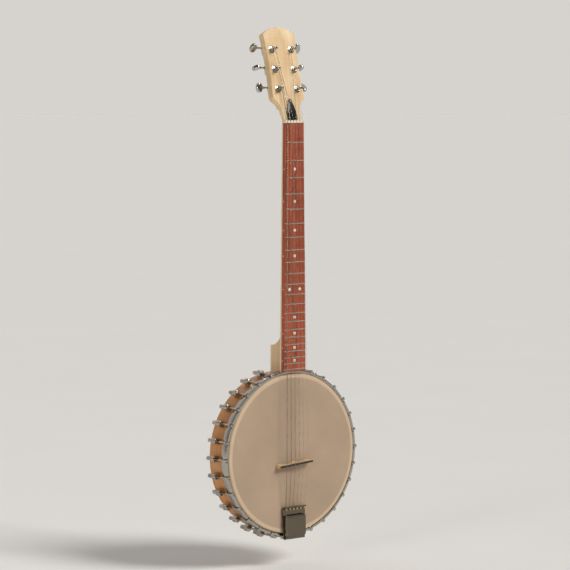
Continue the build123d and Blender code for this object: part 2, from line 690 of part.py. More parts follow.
with BuildPart() as rim:
    with BuildSketch(POT_PROFILE):
        with Locations(((RIM_INNER + RIM_RADIUS) / 2, (RIM_FRONT_DEPTH + RIM_BACK_DEPTH) / 2)):
            Rectangle(RIM_WALL, RIM_BACK_DEPTH - RIM_FRONT_DEPTH)
        chamfer(vertices().group_by(Axis.Y)[-1], RIM_EASE)
    revolve(axis=POT_AXIS)
    for angle in HOOK_ANGLES:
        with BuildSketch(radial(angle, RIM_INNER - RIM_WALL, SHOE_MIDDLE_DEPTH)):
            Circle(SHOE_BOLT_RADIUS + SEAT_CLEAR)
        extrude(amount=3 * RIM_WALL, mode=Mode.SUBTRACT)
    for angle in (0, 180):
        for depth in (ROD_FRONT_DEPTH, ROD_BACK_DEPTH):
            with BuildSketch(radial(angle, RIM_INNER - RIM_WALL, depth)):
                Circle(ROD_BOLT_RADIUS + SEAT_CLEAR)
            extrude(amount=3 * RIM_WALL, mode=Mode.SUBTRACT)
finish(rim, "rim")

with BuildPart() as tone_ring:
    with BuildSketch(POT_PROFILE):
        with Locations((RIM_RADIUS - TONE_RING_RADIUS, TONE_DEPTH)):
            Circle(TONE_RING_RADIUS)
    revolve(axis=POT_AXIS)
finish(tone_ring, "tone_ring")

FLESH_TOP_DEPTH = HEAD_DEPTH + COLLAR_LENGTH
FLESH_LOW_DEPTH = FLESH_TOP_DEPTH + FLESH_HOOP_SIZE
FILM_OUTER = COLLAR_RADIUS + HEAD_THICK
FILM_BEND = TONE_RING_RADIUS + HEAD_THICK

with BuildPart() as head:
    with BuildSketch(POT_PROFILE):
        with BuildLine():
            Line((0, HEAD_DEPTH), (FILM_OUTER - FILM_BEND, HEAD_DEPTH))
            RadiusArc(
                (FILM_OUTER - FILM_BEND, HEAD_DEPTH),
                (FILM_OUTER, HEAD_DEPTH + FILM_BEND),
                -FILM_BEND,
            )
            Polyline(
                (FILM_OUTER, HEAD_DEPTH + FILM_BEND),
                (FILM_OUTER, FLESH_LOW_DEPTH),
                (COLLAR_RADIUS, FLESH_LOW_DEPTH),
                (COLLAR_RADIUS, HEAD_DEPTH + FILM_BEND),
            )
            RadiusArc(
                (COLLAR_RADIUS, HEAD_DEPTH + FILM_BEND),
                (FILM_OUTER - FILM_BEND, HEAD_DEPTH + HEAD_THICK),
                TONE_RING_RADIUS,
            )
            Polyline(
                (FILM_OUTER - FILM_BEND, HEAD_DEPTH + HEAD_THICK),
                (0, HEAD_DEPTH + HEAD_THICK),
                (0, HEAD_DEPTH),
            )
        make_face()
    revolve(axis=POT_AXIS)
finish(head, "head")

with BuildPart() as flesh_hoop:
    with BuildSketch(POT_PROFILE):
        with Locations((FILM_OUTER + SEAT_CLEAR, FLESH_TOP_DEPTH)):
            RectangleRounded(
                FLESH_HOOP_SIZE,
                FLESH_HOOP_SIZE,
                FLESH_HOOP_SIZE / 8,
                align=(Align.MIN, Align.MIN),
            )
    revolve(axis=POT_AXIS)
finish(flesh_hoop, "flesh_hoop")

HOOP_LOW_DEPTH = HOOP_TOP_DEPTH + HOOP_TALL

with BuildPart() as tension_hoop:
    with BuildSketch(POT_PROFILE):
        with BuildLine():
            Polyline(
                (HOOP_INNER, HOOP_TOP_DEPTH),
                (HOOP_OUTER, HOOP_TOP_DEPTH),
                (HOOP_OUTER, HOOP_LOW_DEPTH),
                (HOOP_OUTER - HOOP_SKIRT, HOOP_LOW_DEPTH),
                (HOOP_OUTER - HOOP_SKIRT, FLESH_TOP_DEPTH - SEAT_CLEAR),
                (HOOP_INNER, FLESH_TOP_DEPTH - SEAT_CLEAR),
                close=True,
            )
        make_face()
    revolve(axis=POT_AXIS)
    for angle in HOOK_ANGLES:
        with BuildSketch(around(angle, (HOOP_INNER + HOOP_OUTER) / 2, HOOP_TOP_DEPTH)):
            Rectangle(2 * HOOP_THICK, HOOK_TIP_WIDTH + 2 * ROOM)
        extrude(amount=NOTCH_DEEP, mode=Mode.SUBTRACT)
finish(tension_hoop, "tension_hoop")

# ---------------------------------------------------------------- hooks, shoes and their nuts

HOOK_TIP_DEPTH = HOOP_TOP_DEPTH + NOTCH_DEEP - SEAT_CLEAR
SHOE_BACK_DEPTH = SHOE_FRONT_DEPTH + SHOE_TALL
HOOK_END_DEPTH = SHOE_BACK_DEPTH + ROOM + HOOK_NUT_LENGTH - HOOK_NUT_CAP
SHOE_OUTER = HOOK_CIRCLE + HOOK_RADIUS + SHOE_WALL
ALL_HOOKS = [around(angle, 0, 0).location for angle in HOOK_ANGLES]

# One hook: local x outwards, z along the depth
with BuildPart() as one_hook:
    with BuildSketch(Plane.XY.offset(HOOK_TIP_DEPTH - HOOK_TIP_THICK)):
        with Locations((HOOK_CIRCLE + HOOK_RADIUS, 0)):
            tip_length = 2 * HOOK_RADIUS + ROOM + HOOK_TIP_REACH
            Rectangle(tip_length, HOOK_TIP_WIDTH, align=(Align.MAX, Align.CENTER))
    extrude(amount=HOOK_TIP_THICK)
    chamfer(edges().group_by(Axis.Z)[0].group_by(Axis.X)[-1], HOOK_TIP_THICK / 2)
    with BuildSketch(Plane.XY.offset(HOOK_TIP_DEPTH)):
        with Locations((HOOK_CIRCLE, 0)):
            Circle(HOOK_RADIUS)
    extrude(amount=HOOK_END_DEPTH - ROOM - HOOK_TIP_DEPTH)

with BuildPart() as bracket_hooks:
    with Locations(*ALL_HOOKS):
        add(one_hook.part)
finish(bracket_hooks, "bracket_hooks")

# One shoe: a rounded block that is hollowed to the rim and bored for the hook
with BuildPart() as one_shoe:
    with BuildSketch(Plane.XY.offset(SHOE_FRONT_DEPTH)):
        with Locations(((RIM_RADIUS + SHOE_OUTER) / 2, 0)):
            Rectangle(SHOE_OUTER - RIM_RADIUS + 2 * SHOE_FILLET, SHOE_WIDTH)
        fillet(vertices().group_by(Axis.X)[-1], SHOE_WIDTH / 2 - ROOM)
    extrude(amount=SHOE_TALL)
    fillet(edges().filter_by(Plane.XY), SHOE_FILLET)
    with BuildSketch(Plane.XY.offset(SHOE_FRONT_DEPTH)):
        Circle(RIM_RADIUS + SEAT_CLEAR)
    extrude(amount=SHOE_TALL, mode=Mode.SUBTRACT)
    with BuildSketch(Plane.XY.offset(SHOE_FRONT_DEPTH)):
        with Locations((HOOK_CIRCLE, 0)):
            Circle(HOOK_RADIUS + SEAT_CLEAR)
    extrude(amount=SHOE_TALL, mode=Mode.SUBTRACT)
    with BuildSketch(Plane(origin=(RIM_RADIUS, 0, SHOE_MIDDLE_DEPTH), x_dir=(0, 1, 0), z_dir=(1, 0, 0))):
        Circle(SHOE_BOLT_RADIUS + SEAT_CLEAR)
    extrude(amount=SHOE_BOLT_BITE + ROOM, mode=Mode.SUBTRACT)

with BuildPart() as bracket_shoes:
    with Locations(*ALL_HOOKS):
        add(one_shoe.part)
finish(bracket_shoes, "bracket_shoes")

BOLT_HEAD_SEAT = RIM_INNER - sagitta(RIM_INNER, SHOE_BOLT_HEAD_RADIUS) - SEAT_CLEAR

with BuildPart() as one_shoe_bolt:
    with BuildSketch(Plane(origin=(BOLT_HEAD_SEAT, 0, SHOE_MIDDLE_DEPTH), x_dir=(0, 1, 0), z_dir=(1, 0, 0))):
        Circle(SHOE_BOLT_RADIUS)
    extrude(amount=RIM_RADIUS + SHOE_BOLT_BITE - BOLT_HEAD_SEAT)
    with BuildSketch(Plane(origin=(BOLT_HEAD_SEAT, 0, SHOE_MIDDLE_DEPTH), x_dir=(0, 1, 0), z_dir=(1, 0, 0))):
        Circle(SHOE_BOLT_HEAD_RADIUS)
    extrude(amount=-SHOE_BOLT_HEAD_THICK)
    fillet(edges().group_by(Axis.X)[0], SHOE_BOLT_HEAD_THICK / 2)

with BuildPart() as shoe_bolts:
    with Locations(*ALL_HOOKS):
        add(one_shoe_bolt.part)
finish(shoe_bolts, "shoe_bolts")

with BuildPart() as one_hook_nut:
    with BuildSketch(Plane.XY.offset(SHOE_BACK_DEPTH + ROOM)):
        with Locations((HOOK_CIRCLE, 0)):
            RegularPolygon(NUT_ACROSS_FLATS / 2, 6, major_radius=False)
    extrude(amount=HOOK_NUT_LENGTH)
    fillet(edges().group_by(Axis.Z)[-1], HOOK_NUT_CAP / 2)
    with BuildSketch(Plane.XY.offset(SHOE_BACK_DEPTH + ROOM)):
        with Locations((HOOK_CIRCLE, 0)):
            Circle(HOOK_RADIUS + SEAT_CLEAR)
    extrude(amount=HOOK_NUT_LENGTH - HOOK_NUT_CAP, mode=Mode.SUBTRACT)

with BuildPart() as hook_nuts:
    with Locations(*ALL_HOOKS):
        add(one_hook_nut.part)
finish(hook_nuts, "hook_nuts")

# ---------------------------------------------------------------- rods and bolts inside the pot

ROD_NUT_SEAT = RIM_INNER - sagitta(RIM_INNER, ROD_NUT_ACROSS_FLATS) - SEAT_CLEAR
ROD_HALF = ROD_NUT_SEAT - ROD_NUT_LENGTH - ROOM
ROD_DEPTHS = (ROD_FRONT_DEPTH, ROD_BACK_DEPTH)

with BuildPart() as coordinator_rods:
    for depth in ROD_DEPTHS:
        with BuildSketch(radial(0, -ROD_HALF, depth)):
            Circle(ROD_RADIUS)
        extrude(amount=2 * ROD_HALF)
        for angle in (0, 180):
            with BuildSketch(radial(angle, ROD_HALF, depth)):
                Circle(ROD_BOLT_RADIUS + SEAT_CLEAR)
            extrude(amount=-(ROD_BOLT_IN_ROD + ROOM), mode=Mode.SUBTRACT)
        # A cross hole near the heel end, to turn the rod with a pin
        with BuildSketch(around(0, ROD_HALF - 2 * ROD_BOLT_IN_ROD, depth - ROD_RADIUS)):
            Circle(ROD_RADIUS / 3)
        extrude(amount=2 * ROD_RADIUS, mode=Mode.SUBTRACT)
finish(coordinator_rods, "coordinator_rods")

with BuildPart() as heel_bolts:
    for depth in ROD_DEPTHS:
        with BuildSketch(radial(0, ROD_HALF - ROD_BOLT_IN_ROD, depth)):
            Circle(ROD_BOLT_RADIUS)
        extrude(amount=RIM_RADIUS + ROD_BOLT_IN_HEEL - ROD_HALF + ROD_BOLT_IN_ROD)
finish(heel_bolts, "heel_bolts")

with BuildPart() as rod_nuts:
    for depth in ROD_DEPTHS:
        for angle in (0, 180):
            with BuildSketch(radial(angle, ROD_NUT_SEAT, depth)):
                RegularPolygon(ROD_NUT_ACROSS_FLATS / 2, 6, major_radius=False)
                Circle(ROD_BOLT_RADIUS + SEAT_CLEAR, mode=Mode.SUBTRACT)
            extrude(amount=-ROD_NUT_LENGTH)
finish(rod_nuts, "rod_nuts")

STRAP_RADIUS = RIM_Z - STRAP_Z

with BuildPart() as tail_bolts:
    for depth, seat in ((ROD_FRONT_DEPTH, STRAP_RADIUS + TAIL_STRAP_THICK), (ROD_BACK_DEPTH, RIM_RADIUS)):
        with BuildSketch(radial(180, ROD_HALF - ROD_BOLT_IN_ROD, depth)):
            Circle(ROD_BOLT_RADIUS)
        extrude(amount=seat + SEAT_CLEAR - ROD_HALF + ROD_BOLT_IN_ROD)
        with BuildSketch(radial(180, seat + SEAT_CLEAR, depth)):
            RegularPolygon(TAIL_BOLT_HEAD_RADIUS, 6)
        extrude(amount=TAIL_BOLT_HEAD_THICK)
    fillet(edges().group_by(Axis.Z)[0], TAIL_BOLT_HEAD_THICK / 6)
finish(tail_bolts, "tail_bolts")

with BuildPart() as tail_spacer:
    with BuildSketch(radial(180, RIM_RADIUS + SEAT_CLEAR, ROD_FRONT_DEPTH)):
        Circle(TAIL_BOLT_HEAD_RADIUS)
        Circle(ROD_BOLT_RADIUS + SEAT_CLEAR, mode=Mode.SUBTRACT)
    extrude(amount=STRAP_RADIUS - RIM_RADIUS - SEAT_CLEAR)
finish(tail_spacer, "tail_spacer")

# ---------------------------------------------------------------- bridge

BRIDGE_CAP_DEPTH = BRIDGE_TOP_DEPTH + BRIDGE_CAP_TALL

# The bridge stands at a slant, its bass end further from the nut, so that the thick strings are longer.
# BRIDGE: local x along the bridge and y along the depth. BRIDGE_SIDE: local x along the depth.
slant = math.radians(BRIDGE_SLANT)
BRIDGE = Plane(
    origin=(0, FACE_Y, BRIDGE_Z),
    x_dir=(math.cos(slant), 0, math.sin(slant)),
    z_dir=(-math.sin(slant), 0, math.cos(slant)),
)
BRIDGE_SIDE = Plane(origin=BRIDGE.origin, x_dir=(0, 1, 0), z_dir=BRIDGE.x_dir)


def bridge_wedge():
    """Side outline of the bridge and its cap together, thick at the foot and thin at the top."""
    with BuildSketch(BRIDGE_SIDE) as wedge:
        with BuildLine():
            Polyline(
                (HEAD_DEPTH, -BRIDGE_FOOT_THICK / 2),
                (HEAD_DEPTH, BRIDGE_FOOT_THICK / 2),
                (BRIDGE_TOP_DEPTH, BRIDGE_TOP_THICK / 2),
                (BRIDGE_TOP_DEPTH, -BRIDGE_TOP_THICK / 2),
                close=True,
            )
        make_face()
    return wedge.sketch


with BuildPart() as bridge:
    with BuildSketch(BRIDGE):
        with Locations((0, BRIDGE_CAP_DEPTH)):
            Rectangle(BRIDGE_LENGTH, HEAD_DEPTH - BRIDGE_CAP_DEPTH, align=(Align.CENTER, Align.MIN))
        # Two arches leave three feet
        arch = (BRIDGE_LENGTH - 3 * BRIDGE_FOOT_LENGTH) / 2
        with Locations(*[(side * (BRIDGE_FOOT_LENGTH + arch) / 2, HEAD_DEPTH) for side in (-1, 1)]):
            Ellipse(arch / 2, BRIDGE_ARCH_TALL, mode=Mode.SUBTRACT)
    extrude(amount=BRIDGE_FOOT_THICK, both=True)
    add(bridge_wedge())
    extrude(amount=BRIDGE_LENGTH, dir=BRIDGE.x_dir, both=True, mode=Mode.INTERSECT)
finish(bridge, "bridge")

with BuildPart() as bridge_cap:
    with BuildSketch(BRIDGE):
        with Locations((0, BRIDGE_TOP_DEPTH)):
            Rectangle(BRIDGE_LENGTH, BRIDGE_CAP_TALL, align=(Align.CENTER, Align.MIN))
    extrude(amount=BRIDGE_FOOT_THICK, both=True)
    add(bridge_wedge())
    extrude(amount=BRIDGE_LENGTH, dir=BRIDGE.x_dir, both=True, mode=Mode.INTERSECT)
    # The string slots run along the strings, not square to the bridge
    for index, radius in enumerate(STRING_RADII):
        top = string_points(index)[1]
        slot_width = 2 * (radius + CAP_SLOT_ROOM)
        with BuildSketch(Plane.XY.offset(top.Z)):
            with Locations((top.X, top.Y + radius + CAP_SLOT_ROOM)):
                Rectangle(slot_width, 3 * BRIDGE_CAP_TALL, align=(Align.CENTER, Align.MAX))
        extrude(amount=BRIDGE_FOOT_THICK, both=True, mode=Mode.SUBTRACT)
finish(bridge_cap, "bridge_cap")

# ---------------------------------------------------------------- tailpiece

HINGE_Y = FACE_Y + HINGE_DEPTH
PLATE_Y = FACE_Y + TAIL_PLATE_DEPTH
STRAP_LOW_Z = STRAP_Z - TAIL_STRAP_THICK
EAR_X = TAIL_COVER_HALF_WIDTH - 2 * HINGE_EAR_THICK

with BuildPart() as tailpiece_base:
    # Plate over the head, narrowed towards the strap
    with BuildSketch(Plane(origin=(0, PLATE_Y, 0), x_dir=(1, 0, 0), z_dir=(0, -1, 0))):
        with BuildLine():
            Polyline(
                (-TAIL_PLATE_HALF_WIDTH, TAIL_FRONT_Z),
                (TAIL_PLATE_HALF_WIDTH, TAIL_FRONT_Z),
                (TAIL_PLATE_HALF_WIDTH - HINGE_EAR_THICK, STRAP_LOW_Z),
                (-TAIL_PLATE_HALF_WIDTH + HINGE_EAR_THICK, STRAP_LOW_Z),
                close=True,
            )
        make_face()
        fillet(vertices().group_by(Axis.Y)[0], HINGE_BARREL_RADIUS)
    extrude(amount=-TAIL_PLATE_THICK)
    # Turned-up lip with a hole for each string
    with BuildSketch(Plane.XY.offset(TAIL_FRONT_Z - TAIL_LIP_THICK)):
        with Locations((0, PLATE_Y)):
            Rectangle(2 * TAIL_PLATE_HALF_WIDTH - 2 * ROOM, TAIL_LIP_TALL, align=(Align.CENTER, Align.MAX))
    extrude(amount=TAIL_LIP_THICK)
    with BuildSketch(Plane.XY.offset(TAIL_FRONT_Z - TAIL_LIP_THICK)):
        for index in range(len(STRING_RADII)):
            with Locations((string_x(index, STRING_SPREAD_TAIL), FACE_Y + STRING_TAIL_DEPTH)):
                Circle(TAIL_HOLE_RADIUS)
    extrude(amount=TAIL_LIP_THICK, mode=Mode.SUBTRACT)
    # Strap that runs back past the hoop to the rod's bolt
    with BuildSketch(Plane.XY.offset(STRAP_LOW_Z)):
        with Locations((0, PLATE_Y)):
            strap_length = ROD_FRONT_DEPTH + TAIL_STRAP_END - TAIL_PLATE_DEPTH
            Rectangle(2 * TAIL_STRAP_HALF_WIDTH, strap_length, align=(Align.CENTER, Align.MIN))
        fillet(vertices().group_by(Axis.Y)[-1], TAIL_STRAP_END / 2)
        with Locations((0, FACE_Y + ROD_FRONT_DEPTH)):
            Circle(ROD_BOLT_RADIUS + SEAT_CLEAR, mode=Mode.SUBTRACT)
    extrude(amount=TAIL_STRAP_THICK)
    # Ears that carry the hinge pin
    for side in (-1, 1):
        with BuildSketch(Plane.YZ.offset(side * EAR_X - HINGE_EAR_THICK / 2)):
            with BuildLine():
                Polyline(
                    (PLATE_Y, HINGE_Z + HINGE_BARREL_RADIUS),
                    (HINGE_Y, HINGE_Z + HINGE_BARREL_RADIUS),
                )
                ThreePointArc(
                    (HINGE_Y, HINGE_Z + HINGE_BARREL_RADIUS),
                    (HINGE_Y - HINGE_BARREL_RADIUS, HINGE_Z),
                    (HINGE_Y, HINGE_Z - HINGE_BARREL_RADIUS),
                )
                Polyline(
                    (HINGE_Y, HINGE_Z - HINGE_BARREL_RADIUS),
                    (PLATE_Y, HINGE_Z - HINGE_BARREL_RADIUS),
                    (PLATE_Y, HINGE_Z + HINGE_BARREL_RADIUS),
                )
            make_face()
        extrude(amount=HINGE_EAR_THICK)
    with BuildSketch(Plane.YZ.offset(-TAIL_PLATE_HALF_WIDTH)):
        with Locations((HINGE_Y, HINGE_Z)):
            Circle(HINGE_PIN_RADIUS + SEAT_CLEAR)
    extrude(amount=2 * TAIL_PLATE_HALF_WIDTH, mode=Mode.SUBTRACT)
finish(tailpiece_base, "tailpiece_base")

PIN_HALF = EAR_X + HINGE_EAR_THICK / 2 + ROOM

with BuildPart() as hinge_pin:
    with BuildSketch(Plane.YZ.offset(-PIN_HALF)):
        with Locations((HINGE_Y, HINGE_Z)):
            Circle(HINGE_PIN_RADIUS)
    extrude(amount=2 * PIN_HALF)
finish(hinge_pin, "hinge_pin")

BARREL_HALF = EAR_X - HINGE_EAR_THICK / 2 - ROOM
COVER_LOW_Z = HINGE_Z + HINGE_BARREL_RADIUS + ROOM
COVER_TOP_Z = HINGE_Z + TAIL_COVER_LENGTH
COVER_FRONT_Y = FACE_Y + TAIL_COVER_FRONT_DEPTH

with BuildPart() as tailpiece_cover:
    # A shallow tray, open at the back
    with BuildSketch(Plane(origin=(0, PLATE_Y - ROOM, 0), x_dir=(1, 0, 0), z_dir=(0, -1, 0))):
        with Locations((0, (COVER_LOW_Z + COVER_TOP_Z) / 2)):
            RectangleRounded(2 * TAIL_COVER_HALF_WIDTH, COVER_TOP_Z - COVER_LOW_Z, COVER_CORNER)
    extrude(amount=PLATE_Y - ROOM - COVER_FRONT_Y)
    fillet(edges().group_by(Axis.Y)[0], TAIL_COVER_WALL + ROOM)
    offset(amount=-TAIL_COVER_WALL, openings=faces().sort_by(Axis.Y)[-1])
    # Barrel on the pin, joined to the tray by a web
    with BuildSketch(Plane.YZ.offset(-BARREL_HALF)):
        with Locations((HINGE_Y, HINGE_Z)):
            Circle(HINGE_BARREL_RADIUS)
        with Locations((HINGE_Y - HINGE_BARREL_RADIUS, HINGE_Z)):
            web_length = COVER_LOW_Z - HINGE_Z + TAIL_COVER_WALL / 2
            Rectangle(TAIL_COVER_WALL, web_length, align=(Align.MIN, Align.MIN))
    extrude(amount=2 * BARREL_HALF)
    with BuildSketch(Plane.YZ.offset(-BARREL_HALF)):
        with Locations((HINGE_Y, HINGE_Z)):
            Circle(HINGE_PIN_RADIUS + RUN_CLEAR)
    extrude(amount=2 * BARREL_HALF, mode=Mode.SUBTRACT)
finish(tailpiece_cover, "tailpiece_cover")

# ---------------------------------------------------------------- strings

for index, radius in enumerate(STRING_RADII):
    ball, bridge_top, over_nut, end = string_points(index)
    side, row = string_post(index)
    coil_radius = POST_WAIST_RADIUS + RUN_CLEAR + radius
    with BuildPart() as string:
        with BuildLine() as route:
            FilletPolyline(ball, bridge_top, over_nut, end, radius=STRING_BEND_RADIUS)
        with BuildSketch(Plane(origin=ball, z_dir=bridge_top - ball)):
            Circle(radius)
        sweep(path=route.line)
        # Turns round the post, above the end of the straight run
        for turn_number in range(STRING_TURNS):
            height = POST_WAIST_LOW + ROOM + radius + turn_number * 2 * radius * COIL_CLOSE
            ring_place = HEADSTOCK.from_local_coords((side * TUNER_X, row, height))
            ring_plane = Plane(origin=ring_place, x_dir=(1, 0, 0), z_dir=HEADSTOCK.y_dir)
            with BuildSketch(ring_plane):
                with Locations((coil_radius, 0)):
                    Circle(radius)
            revolve(axis=Axis(ring_place, HEADSTOCK.z_dir))
    finish(string, f"string_{index + 1}")

with BuildPart() as ball_ends:
    for index in range(len(STRING_RADII)):
        below = string_points(index)[0] - Vector(0, 0, BALL_END_RADIUS + ROOM)
        with BuildSketch(Plane(origin=below, x_dir=(1, 0, 0), z_dir=(0, -1, 0))):
            Circle(BALL_END_RADIUS)
            Circle(BALL_END_RADIUS / 2, mode=Mode.SUBTRACT)
        extrude(amount=BALL_END_LENGTH / 2, both=True)
finish(ball_ends, "ball_ends")

# ---------------------------------------------------------------- tuning machines

CAVITY_RADIUS = GEAR_RADIUS + ROOM
HOUSING_X = CAVITY_RADIUS + HOUSING_WALL
HOUSING_TOP = WORM_UP + WORM_RADIUS + ROOM + HOUSING_WALL
COVER_LEVEL = -HEADSTOCK_THICK - HOUSING_THICK
COVER_PLATE_THICK = HOUSING_WALL


def at_tuner(x, up, side, height=0.0):
    """A plane at a post, with x pointing outboard and z out of the headstock's face."""
    place = HEADSTOCK.from_local_coords((x, up, height))
    return Plane(origin=place, x_dir=HEADSTOCK.x_dir * side, z_dir=HEADSTOCK.z_dir)


def housing_outline(inset):
    """Rounded outline of the housing, less an inset. It is symmetrical, so it suits both sides."""
    with Locations((0, (HOUSING_TOP - HOUSING_X) / 2)):
        RectangleRounded(
            2 * (HOUSING_X - inset),
            HOUSING_TOP + HOUSING_X - 2 * inset,
            HOUSING_CORNER - inset,
        )


with BuildPart() as tuner_housings:
    for x, up, side in TUNERS:
        place = HEADSTOCK.from_local_coords((x, up, 0))
        frame = Plane(origin=place, x_dir=HEADSTOCK.x_dir, z_dir=HEADSTOCK.z_dir)
        with BuildSketch(frame.offset(-HEADSTOCK_THICK)):
            housing_outline(0)
        extrude(amount=-HOUSING_THICK)
        with BuildSketch(frame.offset(-HEADSTOCK_THICK)):
            with Locations((0, -EAR_DOWN)):
                Circle(EAR_RADIUS)
            with Locations((0, -(EAR_DOWN + HOUSING_X) / 2 + ROOM)):
                Rectangle(2 * EAR_RADIUS, EAR_DOWN - HOUSING_X + 4 * ROOM)
            with Locations((0, -EAR_DOWN)):
                Circle(EAR_SCREW_RADIUS + SEAT_CLEAR, mode=Mode.SUBTRACT)
        extrude(amount=-EAR_THICK)
        worm_axis = frame.from_local_coords((0, WORM_UP, WORM_HEIGHT))
        outboard = HEADSTOCK.x_dir * side
        with BuildSketch(Plane(origin=worm_axis + outboard * (HOUSING_X - ROOM), z_dir=outboard)):
            Circle(HOUSING_BOSS_RADIUS)
        extrude(amount=HOUSING_BOSS_LENGTH + ROOM)
        # Room for the gear and the worm, and the seat of the back cover
        with BuildSketch(frame.offset(COVER_LEVEL)):
            housing_outline(HOUSING_WALL / 2)
        extrude(amount=COVER_PLATE_THICK, mode=Mode.SUBTRACT)
        with BuildSketch(frame.offset(COVER_LEVEL)):
            Circle(CAVITY_RADIUS)
        extrude(amount=HOUSING_THICK - HOUSING_FLOOR, mode=Mode.SUBTRACT)
        with BuildSketch(Plane(origin=worm_axis - outboard * (WORM_LENGTH / 2 + ROOM), z_dir=outboard)):
            Circle(WORM_RADIUS + ROOM)
        extrude(amount=WORM_LENGTH + 2 * ROOM, mode=Mode.SUBTRACT)
        with BuildSketch(Plane(origin=worm_axis, z_dir=outboard)):
            Circle(WORM_SHAFT_RADIUS + RUN_CLEAR)
        extrude(amount=HOUSING_X + 2 * HOUSING_BOSS_LENGTH, mode=Mode.SUBTRACT)
        with BuildSketch(frame.offset(-HEADSTOCK_THICK)):
            Circle(POST_RADIUS + RUN_CLEAR)
        extrude(amount=-HOUSING_FLOOR - ROOM, mode=Mode.SUBTRACT)
finish(tuner_housings, "tuner_housings")

with BuildPart() as tuner_covers:
    for x, up, side in TUNERS:
        with BuildSketch(at_tuner(x, up, 1, COVER_LEVEL)):
            housing_outline(HOUSING_WALL / 2 + SEAT_CLEAR)
        extrude(amount=COVER_PLATE_THICK - WORM_ROOM)
finish(tuner_covers, "tuner_covers")

with BuildPart() as tuner_screws:
    for x, up, side in TUNERS:
        with BuildSketch(at_tuner(x, up - EAR_DOWN, 1, -HEADSTOCK_THICK - EAR_THICK)):
            Circle(EAR_SCREW_RADIUS)
        extrude(amount=EAR_SCREW_LENGTH)
        with BuildSketch(at_tuner(x, up - EAR_DOWN, 1, -HEADSTOCK_THICK - EAR_THICK)):
            Circle(EAR_SCREW_HEAD_RADIUS)
        extrude(amount=-SCREW_HEAD_THICK)
        with BuildSketch(at_tuner(x, up - EAR_DOWN, 1, -HEADSTOCK_THICK - EAR_THICK - SCREW_HEAD_THICK)):
            Rectangle(SCREW_SLOT_LONG * EAR_SCREW_HEAD_RADIUS, SCREW_SLOT)
            Rectangle(SCREW_SLOT, SCREW_SLOT_LONG * EAR_SCREW_HEAD_RADIUS)
        extrude(amount=SCREW_SLOT, mode=Mode.SUBTRACT)
finish(tuner_screws, "tuner_screws")

with BuildPart() as tuner_washers:
    for x, up, side in TUNERS:
        with BuildSketch(at_tuner(x, up, side)):
            Circle(WASHER_RADIUS)
            Circle(BUSHING_RADIUS + SEAT_CLEAR, mode=Mode.SUBTRACT)
        extrude(amount=WASHER_THICK)
finish(tuner_washers, "tuner_washers")

with BuildPart() as tuner_bushings:
    for x, up, side in TUNERS:
        with BuildSketch(at_tuner(x, up, side, -HEADSTOCK_THICK + SEAT_CLEAR)):
            Circle(BUSHING_RADIUS)
        extrude(amount=HEADSTOCK_THICK - SEAT_CLEAR + WASHER_THICK)
        with BuildSketch(at_tuner(x, up, side, WASHER_THICK)):
            RegularPolygon(BUSHING_HEX_ACROSS / 2, 6, major_radius=False)
        extrude(amount=BUSHING_HEX_TALL)
        with BuildSketch(at_tuner(x, up, side, -HEADSTOCK_THICK)):
            Circle(POST_RADIUS + RUN_CLEAR)
        extrude(amount=2 * HEADSTOCK_THICK, mode=Mode.SUBTRACT)
finish(tuner_bushings, "tuner_bushings")

WORM_END = KNOB_X - KNOB_STEM_LENGTH - TUNER_X

# One knob: an oval button on a short stem, bored for the shaft. Local x points outboard.
with BuildPart() as one_knob:
    with BuildSketch(Plane.XY.offset(-KNOB_THICK / 2)):
        with Locations((KNOB_REACH / 2, 0)):
            Ellipse(KNOB_REACH / 2, KNOB_TALL / 2)
    extrude(amount=KNOB_THICK)
    fillet(edges().filter_by(GeomType.ELLIPSE), KNOB_FILLET)
    with BuildSketch(Plane.YZ.offset(-KNOB_STEM_LENGTH)):
        Circle(KNOB_COLLAR_RADIUS)
    with BuildSketch(Plane.YZ.offset(KNOB_FILLET)):
        Circle(KNOB_STEM_RADIUS)
    loft(ruled=True)
    with BuildSketch(Plane.YZ.offset(-KNOB_STEM_LENGTH)):
        Circle(WORM_SHAFT_RADIUS + SEAT_CLEAR)
    extrude(amount=KNOB_STEM_LENGTH + ROOM, mode=Mode.SUBTRACT)

